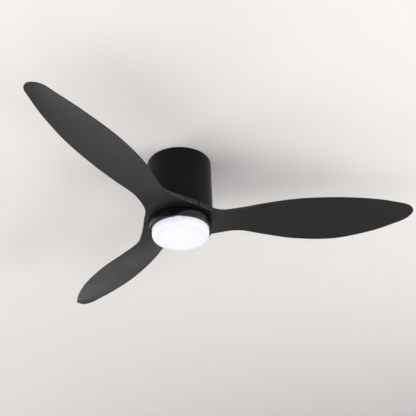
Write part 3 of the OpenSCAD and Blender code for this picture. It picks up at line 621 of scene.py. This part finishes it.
def carved(body: Object, tools: list[Object], operation: str) -> Object:
    """Cuts tools from a body, or joins them to it.

    Args:
        body: the solid to work on.
        tools: solids that are used up.
        operation: the Boolean modifier's operation.

    Returns:
        The worked solid.
    """
    name = body.name
    for tool in tools:
        modifier = body.modifiers.new("work", "BOOLEAN")
        modifier.operation = operation
        modifier.solver = "EXACT"
        modifier.object = tool
    body.name = "work"
    done = baked(body, name)
    for tool in tools:
        bpy.data.objects.remove(tool)
    return done


def smoothed(piece: Object, degrees: float = 32.0) -> Object:
    """Shades a piece smooth, with sharp edges past an angle.

    Args:
        piece: the piece to shade.
        degrees: the angle.

    Returns:
        The same piece.
    """
    piece.data.shade_smooth()
    piece.data.set_sharp_from_angle(angle=math.radians(degrees))
    return piece


# ---------- Geometry Nodes helper ----------

class Recipe:
    """A Geometry Nodes tree built in code, with named inputs."""

    def __init__(self, name: str) -> None:
        """Args:
            name: the tree's name.
        """
        self.tree = bpy.data.node_groups.new(name, "GeometryNodeTree")
        self.tree.interface.new_socket(name="Geometry", in_out="INPUT", socket_type="NodeSocketGeometry")
        self.tree.interface.new_socket(name="Geometry", in_out="OUTPUT", socket_type="NodeSocketGeometry")
        self.start = self.tree.nodes.new("NodeGroupInput")
        self.end = self.tree.nodes.new("NodeGroupOutput")
        self.values: dict[str, object] = {}

    def number(self, name: str, value: float) -> Socket:
        """Adds a named input.

        Args:
            name: the input's name.
            value: its value; a whole number makes an integer input.

        Returns:
            The input's socket inside the tree.
        """
        kind = "NodeSocketInt" if isinstance(value, int) else "NodeSocketFloat"
        made = self.tree.interface.new_socket(name=name, in_out="INPUT", socket_type=kind)
        self.values[made.identifier] = value
        return self.start.outputs[name]

    def node(self, kind: str, settings: dict, inputs: dict, result: object = 0) -> Socket:
        """Adds a node.

        Args:
            kind: the node's type.
            settings: attributes set before the sockets.
            inputs: values or sockets by input name or number.
            result: the name or number of the output wanted.

        Returns:
            The wanted output socket.
        """
        made = self.tree.nodes.new(kind)
        for key, setting in settings.items():
            setattr(made, key, setting)
        for key, value in inputs.items():
            if isinstance(value, Socket):
                self.tree.links.new(value, made.inputs[key])
            else:
                made.inputs[key].default_value = value
        return made.outputs[result]

    def maths(self, operation: str, first: object, second: object = 0.0) -> Socket:
        """Adds a Math node."""
        return self.node("ShaderNodeMath", {"operation": operation}, {0: first, 1: second})

    def place_axis(self, axis: int) -> Socket:
        """One coordinate of each point's place."""
        place = self.node("GeometryNodeInputPosition", {}, {})
        return self.node("ShaderNodeSeparateXYZ", {}, {0: place}, axis)

    def outward(self) -> Socket:
        """Rotation about Z that turns +X away from the axis at each point."""
        angle = self.maths("ARCTAN2", self.place_axis(1), self.place_axis(0))
        return self.node("ShaderNodeCombineXYZ", {}, {2: angle})

    def placed(self, shape: Socket, points: Socket, more: dict) -> Socket:
        """Puts a shape on points, with more inputs such as its rotation or scale."""
        return self.node("GeometryNodeInstanceOnPoints", {}, {"Points": points, "Instance": shape, **more})

    def moved(self, shape: Socket, how: dict) -> Socket:
        """Moves or turns a shape by a translation or a rotation."""
        return self.node("GeometryNodeTransform", {}, {"Geometry": shape, **how})

    def finish(self, geometry: Socket, material: Material) -> None:
        """Ends the tree in Realize Instances and Set Material.

        Args:
            geometry: what the tree has made.
            material: its material.
        """
        real = self.node("GeometryNodeRealizeInstances", {}, {0: geometry})
        dressed = self.node("GeometryNodeSetMaterial", {}, {"Geometry": real, "Material": material})
        self.tree.links.new(dressed, self.end.inputs[0])

    def made(self, name: str, mesh: bpy.types.Mesh | None = None) -> Object:
        """Runs the tree on a mesh.

        Args:
            name: the result's name.
            mesh: the mesh to run it on, or None for a tree that makes its own.

        Returns:
            The result as a plain mesh object.
        """
        source = new_object("seed", mesh or bpy.data.meshes.new("seed"))
        modifier = source.modifiers.new("recipe", "NODES")
        modifier.node_group = self.tree
        for identifier, value in self.values.items():
            modifier[identifier] = value
        return baked(source, name)


# ---------- The fan's sizes, from the frame ----------

@dataclass
class Levels:
    """Heights and radii that several pieces share, in millimetres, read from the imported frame."""

    housing_r: float = 0.0  # housing's radius
    rim_z: float = 0.0  # housing's lower rim
    root_top_z: float = 0.0  # top of the blade roots
    root_low_z: float = 0.0  # underside of the blade roots
    pan_r: float = 0.0  # pan's radius
    pan_top_z: float = 0.0  # pan's top
    pan_low_z: float = 0.0  # pan's lower rim
    diffuser_r: float = 0.0  # diffuser's radius
    diffuser_top_z: float = 0.0  # diffuser's upper rim
    diffuser_low_z: float = 0.0  # diffuser's underside
    board_low_z: float = 0.0  # underside of the LED board
    core_top_z: float = 0.0  # top of the stator core
    core_low_z: float = 0.0  # underside of the stator core

    @classmethod
    def measured(cls) -> "Levels":
        """Reads the sizes.

        Returns:
            The sizes of this frame.
        """
        def corners(node: str) -> tuple[Vector, Vector]:
            """Box of a node in millimetres."""
            low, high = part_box(node)
            return low / MM, high / MM

        shell_low, shell_high = corners("housing_shell")
        pads_low, _ = corners("blade_pads")
        pan_low, pan_high = corners("light_pan")
        cap_low, cap_high = corners("diffuser")
        board_low, _ = corners("led_board")
        core_low, core_high = corners("stator_core")
        return cls(
            housing_r=shell_high.x, rim_z=shell_low.z, root_top_z=pads_low.z,
            root_low_z=pads_low.z - ROOT_HEIGHT,
            pan_r=pan_high.y, pan_top_z=pan_high.z, pan_low_z=pan_low.z, diffuser_r=cap_high.y,
            diffuser_top_z=cap_high.z, diffuser_low_z=cap_low.z, board_low_z=board_low.z,
            core_top_z=core_high.z, core_low_z=core_low.z)


# ---------- Housing ----------

@dataclass
class Housing:
    """The drum housing against the ceiling."""

    levels: Levels  # the fan's shared sizes
    finish: Material  # the housing's material
    wall: float = 1.5  # sheet thickness in millimetres
    lip: float = 7.0  # width of the lip turned in at the rim
    bevel: float = 2.5  # bevel round the rim
    screw_drop: float = 12.0  # depth of the side screws below the ceiling
    screw_hole_r: float = 2.3  # radius of the side screws' holes
    edge_rounds: tuple = (0.4, 1.6, 1.2, 0.8)  # of sheet edges, the bevel's two corners, and its inside

    def build(self) -> Object:
        """Makes the shell with its two screw holes.

        Returns:
            The shell.
        """
        r, low, w = self.levels.housing_r, self.levels.rim_z, self.wall
        edge, shoulder, foot, inside = self.edge_rounds
        outline = filleted([
            (r, 0, edge), (r, low + self.bevel, shoulder), (r - self.bevel, low, foot),
            (r - self.lip, low, edge), (r - self.lip, low + w, edge),
            (r - self.bevel - w / 2, low + w, inside),
            (r - w, low + self.bevel + w / 2, inside), (r - w, 0, edge)], closed=True)
        shell = lathe("housing_drum", outline, closed=True)
        drill = cylinder(self.screw_hole_r, r + 5, -r - 5)
        drill.data.transform(Matrix.Rotation(math.pi / 2, 4, "Y"))
        drill.data.transform(Matrix.Translation((0, 0, -self.screw_drop * MM)))
        return smoothed(carved(shell, [drill], "DIFFERENCE"))

    def fit(self) -> None:
        """Builds the shell and hands it to the frame."""
        place_piece(self.build(), "root", "black_paint", self.finish, "housing_shell")


def place_piece(piece: Object, body: str, slot: str, material: Material,
                *nodes: str) -> None:
    """Dresses a piece and fits it to the frame.

    Args:
        piece: the finished piece.
        body: the body that it rides on.
        slot: the record's material slot.
        material: its material.
        nodes: the frame's nodes that it stands for.
    """
    piece.data.materials.clear()
    piece.data.materials.append(material)
    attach(piece, body)
    if nodes:
        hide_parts(*nodes)
    log.info("%s rides on %s: %d faces", piece.name, body, len(piece.data.polygons))


# ---------- Blades ----------

@dataclass
class Blades:
    """The three moulded blades and the fine ribs round their roots."""

    levels: Levels  # the fan's shared sizes
    finish: Material  # the blades' material
    count: int = 3  # number of blades
    sweep_r: float = 660.0  # radius that the tips reach
    chord: float = 153.0  # width that the stations share out
    rise: float = 43.5  # height that the stations share out
    neck_r: float = 101.0  # radius where a root's joint ends
    station_r: float = 106.0  # radius of the first station
    joint_gap: float = 0.6  # gap between two roots
    first_angle: float = 108.0  # angle of blade 1, in degrees
    bow: float = 5.0  # most that the middle arches
    bore_r: float = 34.0  # radius of the bore round the shaft
    start_r: float = 12.0  # radius where the root's sector starts
    rim_round: float = 1.5  # rounding of the blade's edges
    joint_round: float = 0.5  # rounding of the root's edges
    slot_w: float = 3.6  # width of the slot at a joint's outer end
    slot_depth: float = 9.0  # how far that slot goes in
    screw_places: tuple = ((52.0, 0.0), (70.05, -26.0), (70.05, 26.0))  # radius and angle of each blade screw
    screw_hole_r: float = 2.8  # radius of a blade screw's hole
    sink_r: float = 5.6  # radius of the sink for its head
    sink_depth: float = 6.0  # depth of that sink, with the cutting tool's extra
    rib_r: float = 0.55  # radius of a rib
    rib_pitch: float = 2.6  # distance between ribs
    # share of the span, rear and front half widths as shares of the chord, rear and front heights as
    # shares of the rise, edge and middle thickness
    stations: tuple = (
        (0.00, 0.32, 0.42, -0.02, -0.02, 12.0, 12.5),
        (0.11, 0.28, 0.32, 0.22, -0.12, 7.0, 8.5),
        (0.24, 0.37, 0.42, 0.38, -0.28, 3.6, 6.5),
        (0.40, 0.44, 0.54, 0.51, -0.41, 2.6, 5.5),
        (0.60, 0.44, 0.56, 0.56, -0.44, 2.4, 5.0),
        (0.79, 0.35, 0.43, 0.58, -0.22, 2.4, 4.5),
        (0.92, 0.23, 0.27, 0.54, 0.07, 2.4, 3.6),
        (0.965, 0.175, 0.205, 0.50, 0.20, 2.4, 3.1),
        (0.99, 0.10, 0.115, 0.44, 0.30, 2.4, 2.8),
        (1.00, 0.00, 0.00, 0.37, 0.37, 2.4, 2.6),
    )

    def __post_init__(self) -> None:
        """Works out the edge curves."""
        self.mid_z = (self.levels.root_top_z + self.levels.root_low_z) / 2
        self.root_h = self.levels.root_top_z - self.levels.root_low_z
        self.half_sector = 180.0 / self.count
        self.last = len(self.stations)
        self.rear = self.edge_curve(-1)
        self.front = self.edge_curve(1)
        inner = [(self.root_h, self.root_h)] + [(s[5], s[6]) for s in self.stations]
        self.thickness = [inner[0]] + inner + [inner[-1]]

    def station_point(self, s: tuple, side: int) -> Point:
        """Edge point of a station.

        Args:
            s: the station.
            side: -1 at the rear edge, 1 at the front edge.

        Returns:
            The point, with the blade along +X.
        """
        width, height = (s[1], s[3]) if side < 0 else (s[2], s[4])
        return (self.station_r + (self.sweep_r - self.station_r) * s[0], side * self.chord * width,
                self.mid_z + self.rise * height)

    def joint_point(self, r: float, side: int) -> Point:
        """Point on a root's side face."""
        return turned((r, -side * self.joint_gap / 2, self.mid_z), side * self.half_sector)

    def edge_curve(self, side: int) -> list[Point]:
        """Points that an edge's curve passes through.

        Args:
            side: -1 at the rear edge, 1 at the front edge.

        Returns:
            The points, with one more at each end that only steers the curve.
        """
        return ([turned(self.station_point(self.stations[0], -side), side * 2 * self.half_sector),
                 self.joint_point(self.neck_r, side)]
                + [self.station_point(s, side) for s in self.stations]
                + [self.station_point(self.stations[-2], -side)])

    def section(self, rear: Point, front: Point, edge_t: float, middle_t: float, bow: float,
                rim: float) -> list[Point]:
        """Ring of points round the blade at one section.

        Args:
            rear: point on the rear edge.
            front: point on the front edge.
            edge_t: thickness at the edges.
            middle_t: thickness in the middle.
            bow: how far the middle arches.
            rim: radius of the rounded edges.

        Returns:
            The ring, below from rear to front and back above.
        """
        half = math.dist(rear, front) / 2
        rim = min(rim, half * 0.9, edge_t * 0.5)
        edge_steps, inner_steps = 5, 16
        reach = rim / half if half > 0 else 0.0
        across = [-1 + reach * (1 - math.cos(math.pi / 2 * k / edge_steps)) for k in range(edge_steps)]
        across += [-math.cos(math.pi * k / inner_steps) * (1 - reach) for k in range(inner_steps // 2 + 1)]
        across += [-u for u in reversed(across[:-1])]
        ring = {-1: [], 1: []}
        for u in across:
            fall = 1 - u * u
            thick = (edge_t + (middle_t - edge_t) * fall) / 2
            from_edge = (1 - abs(u)) * half
            if from_edge < rim:
                thick += math.sqrt(max(rim * rim - (rim - from_edge) ** 2, 0.0)) - rim
            x, y, z = blended(rear, front, (u + 1) / 2)
            for side in ring:
                ring[side].append((x, y, z + bow * fall + side * thick))
        return ring[-1] + ring[1][::-1]

    def bow_at(self, t: float) -> float:
        """How far the middle arches at t."""
        return self.bow * math.sin(math.pi * min(max(t - 1, 0) / (self.last - 1), 1)) ** 2

    def rings(self) -> list[list[Point]]:
        """All the blade's rings, from inside its root to its tip.

        Returns:
            The rings.
        """
        def joint_ring(share: float) -> list[Point]:
            """Ring between the axis and the neck."""
            ends = [blended(self.joint_point(self.start_r, side), self.joint_point(self.neck_r, side), share)
                    for side in (-1, 1)]
            return self.section(*ends, self.root_h, self.root_h, 0, self.joint_round)

        root_steps, span_steps, tip_steps = 8, 12, 22
        made = [joint_ring(k / root_steps) for k in range(root_steps)]
        steps = [k / span_steps for k in range(span_steps * (self.last - 1))]
        near_tip = [self.last - 1 + math.sin(math.pi / 2 * k / tip_steps) for k in range(tip_steps)]
        for t in steps + near_tip + [self.last - 0.0015]:
            edge_t, middle_t = on_curve(self.thickness, t)
            rim = self.joint_round + (self.rim_round - self.joint_round) * min(t * 3, 1)
            made.append(self.section(on_curve(self.rear, t), on_curve(self.front, t), edge_t, middle_t,
                                     self.bow_at(t), rim))
        return made

    def blade(self, number: int) -> Object:
        """One blade with its bore and screw holes.

        Args:
            number: 1, 2 or 3.

        Returns:
            The blade.
        """
        angle = self.first_angle + (number - 1) * 360.0 / self.count
        rings = self.rings()
        n = len(rings[0])
        points = [turned(p, angle) for ring in rings for p in ring]
        faces = []
        for k in range(len(rings) - 1):
            for i in range(n):
                j = (i + 1) % n
                faces.append((k * n + i, k * n + j, (k + 1) * n + j, (k + 1) * n + i))
        last = (len(rings) - 1) * n
        for i in range(n // 2 - 1):
            cap = (i, i + 1, n - 2 - i, n - 1 - i)
            faces.append(tuple(reversed(cap)))
            faces.append(tuple(last + c for c in cap))
        body = mesh_object(f"blade_moulding_{number}", points, faces)
        top, low = self.levels.root_top_z + 1, self.levels.root_low_z - 1
        tools = [cylinder(self.bore_r, top, low, sides=96)]
        for r, spread in self.screw_places:
            x, y, _ = turned((r, 0, 0), angle + spread)
            tools.append(cylinder(self.screw_hole_r, top, low, (x, y)))
            tools.append(cylinder(self.sink_r, low + self.sink_depth, low, (x, y)))
        sweep = math.degrees(self.slot_w / self.neck_r)
        for side in (-1, 1):
            tools.append(arc_block(self.neck_r - self.slot_depth, self.neck_r + 3, top, low,
                                   angle + side * self.half_sector, sweep))
        return smoothed(carved(body, tools, "DIFFERENCE"), 40.0)

    def ribs(self) -> Object:
        """Fine upright ribs along the root walls, between the blades.

        Returns:
            The ribs of all three necks.
        """
        points, edges = [], []
        path_steps, step = 16, 0.055
        for number in range(self.count):
            angle = self.first_angle + number * 360.0 / self.count
            for curve in (self.rear, self.front):
                first = len(points)
                for k in range(1, path_steps + 1):
                    points.append(turned(on_curve(curve, k * step), angle))
                edges += [(i, i + 1) for i in range(first, len(points) - 1)]
        mesh = bpy.data.meshes.new("rib_paths")
        mesh.from_pydata([tuple(c * MM for c in p) for p in points], edges, [])
        recipe = Recipe("root_ribs")
        pitch = recipe.number("Pitch", self.rib_pitch * MM)
        radius = recipe.number("Rib radius", self.rib_r * MM)
        height = recipe.number("Rib height", self.root_h * 0.62 * MM)
        path = recipe.node("GeometryNodeMeshToCurve", {}, {"Mesh": recipe.start.outputs[0]})
        dots = recipe.node("GeometryNodeResampleCurve", {"mode": "LENGTH"}, {"Curve": path, "Length": pitch})
        rib = recipe.node("GeometryNodeMeshCylinder", {}, {"Vertices": 8, "Radius": radius, "Depth": height})
        placed = recipe.placed(rib, dots, {})
        recipe.finish(placed, self.finish)
        return smoothed(recipe.made("root_ribs", mesh))

    def fit(self) -> None:
        """Builds the blades and ribs and hands them to the frame."""
        for number in range(1, self.count + 1):
            place_piece(self.blade(number), "rotor", "blade_plastic", self.finish, f"blade_{number}")
        place_piece(self.ribs(), "rotor", "blade_plastic", self.finish)


# ---------- Light ----------

@dataclass
class Light:
    """The black pan, the opal diffuser and the LED emitters."""

    levels: Levels  # the fan's shared sizes
    pan_finish: Material  # the pan's material
    opal_finish: Material  # the diffuser's material
    chip_finish: Material  # the emitters' material
    lug_count: int = 3  # number of bayonet lugs
    lug_out: float = 4.0  # how far a lug stands out
    lug_h: float = 3.0  # height of a lug
    lug_angle: float = 10.0  # angle that a lug covers
    lug_play: float = 0.3  # gap round a lug
    bayonet_turn: float = 14.0  # turn from locked to free, in degrees
    pan_wall: float = 2.0  # pan's sheet thickness
    pan_lip_w: float = 8.0  # width of the lip at the pan's rim
    pan_lip_t: float = 3.0  # thickness of that lip
    pan_rounds: tuple = (0.35, 3.0, 0.8, 1.5)  # of plain edges, the top, the foot and the inside of the top
    rim_edge: float = 0.5  # rounding of the lip's and the diffuser's edges
    diffuser_wall: float = 2.0  # diffuser's thickness
    diffuser_round: float = 12.0  # rounding of the diffuser's rim
    thread_r: float = 8.05  # radius of the hole for the threaded tube
    board_boss_h: float = 10.0  # height of the board's bosses
    board_screw_r: float = 64.0  # radius of the circle of the board's screws
    pan_screw_r: float = 50.0  # radius of the circle of the pan's screws
    boss_r: float = 5.0  # radius of a boss
    pan_hole_r: float = 2.3  # radius of a pan screw's hole
    board_hole_r: float = 1.5  # radius of a board screw's hole
    chip_rings: tuple = ((56.0, 22), (39.0, 15), (22.0, 8))  # radius and number of emitters of each ring
    chip_w: float = 3.5  # width of an emitter
    chip_h: float = 0.8  # height of an emitter
    chip_taper: float = 0.82  # lower width over the upper one

    def lug_angles(self) -> list[float]:
        """Angles of the lugs' middles."""
        return [k * 360 / self.lug_count for k in range(self.lug_count)]

    def pan(self) -> Object:
        """The pan, with its rounded upper edge, lip, bayonet notches, bosses and holes.

        Returns:
            The pan.
        """
        r, top, low = self.levels.pan_r, self.levels.pan_top_z, self.levels.pan_low_z
        inner = r - self.pan_wall - 1
        lip = r - self.pan_lip_w
        edge, crown, foot, corner = self.pan_rounds
        outline = filleted([
            (self.thread_r, top, edge), (r, top, crown), (r, low, foot), (lip, low, self.rim_edge),
            (lip, low + self.pan_lip_t, edge), (inner, low + self.pan_lip_t, foot),
            (inner, top - self.pan_wall, corner), (self.thread_r, top - self.pan_wall, edge)], closed=True)
        body = lathe("light_pan_cover", outline, closed=True)
        under = top - self.pan_wall
        boss_low = under - self.board_boss_h
        boss_spots = [turned((self.board_screw_r, 0, 0), 90 + k * 120)[:2] for k in range(3)]
        screw_spots = [turned((self.pan_screw_r, 0, 0), 30 + k * 120)[:2] for k in range(3)]
        bosses = [cylinder(self.boss_r, under + 0.5, boss_low, spot) for spot in boss_spots]
        body = carved(body, bosses, "UNION")
        notch_r = self.levels.diffuser_r + self.lug_out + self.lug_play
        notch_top = low + self.pan_lip_t + 0.1
        cuts = [cylinder(self.pan_hole_r, top + 1, under - 1, spot) for spot in screw_spots]
        cuts += [cylinder(self.board_hole_r, under, boss_low - 1, spot) for spot in boss_spots]
        notch_angle = self.lug_angle + 3
        cuts += [arc_block(lip - 1, notch_r, notch_top, low - 0.1, angle + self.bayonet_turn, notch_angle)
                 for angle in self.lug_angles()]
        return smoothed(carved(body, cuts, "DIFFERENCE"))

    def diffuser(self) -> Object:
        """The opal cap with its three lugs.

        Returns:
            The cap.
        """
        r, top, low = self.levels.diffuser_r, self.levels.diffuser_top_z, self.levels.diffuser_low_z
        w, rounding = self.diffuser_wall, self.diffuser_round
        outline = filleted([
            (0, low, 0), (r, low, rounding), (r, top, self.rim_edge), (r - w, top, self.rim_edge),
            (r - w, low + w, rounding - w),
            (0, low + w, 0)], closed=False, steps=12)
        body = lathe("diffuser_cap", outline, closed=False)
        lug_low = self.levels.pan_low_z + self.pan_lip_t + self.lug_play
        lugs = [arc_block(r - w / 2, r + self.lug_out, lug_low + self.lug_h, lug_low, angle, self.lug_angle)
                for angle in self.lug_angles()]
        return smoothed(carved(body, lugs, "UNION"))

    def emitters(self) -> Object:
        """Rings of LED emitters under the board.

        Returns:
            The emitters.
        """
        recipe = Recipe("led_rings")
        width = recipe.number("Emitter width", self.chip_w * MM)
        height = recipe.number("Emitter height", self.chip_h * MM)
        half = recipe.maths("MULTIPLY", width, math.sqrt(0.5))
        narrow = recipe.maths("MULTIPLY", half, self.chip_taper)
        sizes = {"Vertices": 4, "Radius Top": half, "Radius Bottom": narrow, "Depth": height}
        chip = recipe.node("GeometryNodeMeshCone", {}, sizes)
        square = recipe.moved(chip, {"Rotation": (0, 0, math.pi / 4)})
        joined = recipe.tree.nodes.new("GeometryNodeJoinGeometry")
        for number, (r, count) in enumerate(self.chip_rings, 1):
            ring_r = recipe.number(f"Ring {number} radius", r * MM)
            ring_n = recipe.number(f"Ring {number} count", count)
            ring = recipe.node("GeometryNodeMeshCircle", {}, {"Vertices": ring_n, "Radius": ring_r})
            placed = recipe.placed(square, ring, {"Rotation": recipe.outward()})
            recipe.tree.links.new(placed, joined.inputs[0])
        drop = (0, 0, (self.levels.board_low_z - self.chip_h / 2) * MM)
        lowered = recipe.moved(joined.outputs[0], {"Translation": drop})
        recipe.finish(lowered, self.chip_finish)
        return recipe.made("led_emitters")

    def fit(self) -> None:
        """Builds the light's pieces and hands them to the frame."""
        place_piece(self.pan(), "root", "pan_gloss", self.pan_finish, "light_pan")
        place_piece(self.diffuser(), "diffuser", "opal_diffuser", self.opal_finish, "diffuser")
        place_piece(self.emitters(), "root", "led_phosphor", self.chip_finish, "led_chips")


# ---------- Motor ----------

@dataclass
class Windings:
    """Copper turns wound round the stator's teeth."""

    levels: Levels  # the fan's shared sizes
    finish: Material  # the copper's material
    poles: int = 12  # number of teeth
    inner_r: float = 28.0  # radius where a coil starts, in millimetres
    outer_r: float = 54.0  # radius where it ends
    overhang: float = 7.0  # height of a coil above the core
    wire_r: float = 0.85  # radius of the wire
    clear: float = 0.7  # half the gap between neighbouring coils

    def build(self) -> Object:
        """Makes all the coils.

        Returns:
            The coils.
        """
        turns = int((self.outer_r - self.inner_r) / (2.05 * self.wire_r))
        slope = math.tan(math.pi / self.poles)
        widest = 2 * (self.outer_r * slope - self.clear - self.wire_r)
        recipe = Recipe("coil_turns")
        wire = recipe.number("Wire radius", self.wire_r * MM)
        tall = recipe.number("Coil height", (self.levels.core_top_z - self.levels.core_low_z
                                             + 2 * (self.overhang - self.wire_r)) * MM)
        wide = recipe.number("Coil width", widest * MM)
        number = recipe.number("Turns", turns)
        teeth = recipe.number("Teeth", self.poles)
        first = recipe.number("First radius", (self.inner_r + self.wire_r) * MM)
        last = recipe.number("Last radius", (self.outer_r - self.wire_r) * MM)
        oblong = recipe.node("GeometryNodeCurvePrimitiveQuadrilateral", {}, {"Width": tall, "Height": wide})
        corners = {"Curve": oblong, "Count": 2, "Radius": 3 * MM}
        rounded = recipe.node("GeometryNodeFilletCurve", {"mode": "POLY"}, corners)
        profile = recipe.node("GeometryNodeCurvePrimitiveCircle", {}, {"Resolution": 6, "Radius": wire})
        loop = recipe.node("GeometryNodeCurveToMesh", {}, {"Curve": rounded, "Profile Curve": profile})
        upright = recipe.moved(loop, {"Rotation": (0, math.pi / 2, 0)})
        start = recipe.node("ShaderNodeCombineXYZ", {}, {0: first})
        stop = recipe.node("ShaderNodeCombineXYZ", {}, {0: last})
        ends = {"Count": number, "Start Location": start, "Offset": stop}
        line = recipe.node("GeometryNodeMeshLine", {"mode": "END_POINTS"}, ends)
        share = recipe.maths("DIVIDE", recipe.place_axis(0), last)
        size = recipe.node("ShaderNodeCombineXYZ", {}, {0: 1.0, 1: share, 2: 1.0})
        coil = recipe.placed(upright, line, {"Scale": size})
        ring = recipe.node("GeometryNodeMeshCircle", {}, {"Vertices": teeth, "Radius": 0.00001})
        around = recipe.placed(coil, ring, {"Rotation": recipe.outward()})
        middle = (self.levels.core_top_z + self.levels.core_low_z) / 2 * MM
        lifted = recipe.moved(around, {"Translation": (0, 0, middle)})
        recipe.finish(lifted, self.finish)
        return smoothed(recipe.made("coil_turns"), 50.0)

    def fit(self) -> None:
        """Builds the coils and hands them to the frame."""
        place_piece(self.build(), "root", "copper_wire", self.finish, "stator_windings")


# ---------- Carried-over nodes ----------

def dress_nodes(materials: dict[str, Material]) -> None:
    """Gives every node of the frame its slot's material.

    Args:
        materials: material by slot.
    """
    slots = {part["node"]: part["material_slot"] for part in frame["record"]["subparts"]}
    for name, node in frame["nodes"].items():
        node.data.materials.clear()
        node.data.materials.append(materials[slots[name]])


# ---------- Studio ----------

@dataclass
class Studio:
    """Pale ceiling and floor, soft lights and the camera."""

    ceiling_half: float = 6.0  # half width of the ceiling
    floor_half: float = 30.0  # half width of the floor
    floor_z: float = -3.8  # height of the floor
    lamp_colour: Point = (1.0, 0.985, 0.975)  # colour of the soft lights
    camera_distance: float = 1.9091  # camera's distance from the axis
    camera_drop: float = 1.3153  # camera's depth below the ceiling
    camera_azimuth: float = -12.568  # turn of the whole view, in degrees
    camera_yaw: float = 2.36  # turn of the lens to the right
    camera_pitch: float = 31.44  # tilt of the lens up
    camera_roll: float = -2.57  # lean of the lens
    camera_lens: float = 68.8  # focal length in millimetres

    def plane(self, name: str, half: float, z: float, down: bool, material: Material) -> None:
        """A large flat sheet that isn't part of the fan.

        Args:
            name: the object's name.
            half: half its width in metres.
            z: its height in metres.
            down: whether it faces down.
            material: its material.
        """
        corners = [(-half, -half, z), (half, -half, z), (half, half, z), (-half, half, z)]
        mesh = bpy.data.meshes.new(name)
        mesh.from_pydata(corners, [], [(3, 2, 1, 0) if down else (0, 1, 2, 3)])
        mesh.materials.append(material)
        new_object(name, mesh)

    def ceiling_paint(self) -> Material:
        """Pale matt paint on the side that faces the room, clear from above.

        Returns:
            The material.
        """
        shader = Shader("ceiling_paint")
        shader.surface(base_color=(0.80, 0.785, 0.775), roughness=0.9)
        clear = shader.node("ShaderNodeBsdfTransparent", {}, {})
        behind = shader.node("ShaderNodeNewGeometry", {}, {}, "Backfacing")
        paint = Value(shader, shader.principled.outputs[0])
        both = shader.node("ShaderNodeMixShader", {}, {0: behind, 1: paint, 2: clear})
        shader.plug(shader.output.inputs["Surface"], both)
        return shader.material

    def floor_paint(self) -> Material:
        """Plain pale floor.

        Returns:
            The material.
        """
        shader = Shader("floor_paint")
        shader.surface(base_color=(0.5, 0.495, 0.49), roughness=0.9)
        return shader.material

    def soft_light(self, name: str, place: Point, aim: Point, size: float, power: float) -> None:
        """A square soft light.

        Args:
            name: the light's name.
            place: where it stands, in metres.
            aim: the point that it faces.
            size: its side, in metres.
            power: its power in watts.
        """
        lamp = bpy.data.lights.new(name, "AREA")
        lamp.size = size
        lamp.energy = power
        lamp.color = self.lamp_colour
        made = bpy.data.objects.new(name, lamp)
        bpy.context.scene.collection.objects.link(made)
        made.location = place
        made.rotation_mode = "QUATERNION"
        made.rotation_quaternion = (Vector(aim) - Vector(place)).to_track_quat("-Z", "Y")

    def world(self) -> None:
        """Even pale surroundings."""
        world = bpy.data.worlds.new("surroundings")
        world.use_nodes = True
        background = world.node_tree.nodes["Background"]
        background.inputs["Color"].default_value = (0.93, 0.94, 0.95, 1.0)
        background.inputs["Strength"].default_value = 0.9
        bpy.context.scene.world = world

    def camera(self) -> None:
        """The camera, below the fan and a little to its left."""
        turn = math.radians(self.camera_azimuth)
        yaw, pitch, roll = (math.radians(a) for a in (self.camera_yaw, self.camera_pitch, self.camera_roll))
        right = Vector((math.cos(yaw), -math.sin(yaw), 0))
        ahead = Vector((math.sin(yaw) * math.cos(pitch), math.cos(yaw) * math.cos(pitch), math.sin(pitch)))
        up = right.cross(ahead)
        right, up = (right * math.cos(roll) + up * math.sin(roll),
                     up * math.cos(roll) - right * math.sin(roll))
        frame_turn = Matrix.Rotation(turn, 3, "Z")
        columns = [frame_turn @ v for v in (right, up, -ahead)]
        place = frame_turn @ Vector((0, -self.camera_distance, -self.camera_drop))
        lens = bpy.data.cameras.new("camera")
        lens.lens = self.camera_lens
        lens.sensor_width = 36.0
        lens.clip_end = 50.0
        made = bpy.data.objects.new("camera", lens)
        bpy.context.scene.collection.objects.link(made)
        rotation = Matrix(columns).transposed()
        made.matrix_world = Matrix.Translation(place) @ rotation.to_4x4()
        bpy.context.scene.camera = made

    def build(self) -> None:
        """Sets the whole stage."""
        self.plane("ceiling", self.ceiling_half, 0.0006, True, self.ceiling_paint())
        self.plane("floor", self.floor_half, self.floor_z, False, self.floor_paint())
        self.world()
        self.soft_light("left_soft", (-2.7, -0.9, -1.9), (-0.3, 0.0, 0), 2.2, 42.0)
        self.soft_light("right_soft", (2.8, -1.1, -1.6), (0.4, -0.3, 0), 2.2, 62.0)
        self.soft_light("far_soft", (-3.3, 3.4, -2.1), (-0.3, 2.3, 0), 2.6, 84.0)
        self.soft_light("front_soft", (-0.2, -3.0, -2.3), (0.1, -0.6, 0), 3.2, 42.0)
        self.camera()


def main() -> None:
    """Builds the fan's looks and the stage."""
    bpy.context.scene.view_settings.view_transform = "Standard"
    materials = {finish.slot: finish.build() for finish in FINISHES}
    dress_nodes(materials)
    levels = Levels.measured()
    Housing(levels, materials["black_paint"]).fit()
    Blades(levels, materials["blade_plastic"]).fit()
    Light(levels, materials["pan_gloss"], materials["opal_diffuser"], materials["led_phosphor"]).fit()
    Windings(levels, materials["copper_wire"]).fit()
    Studio().build()


if __name__ == "__main__":
    main()
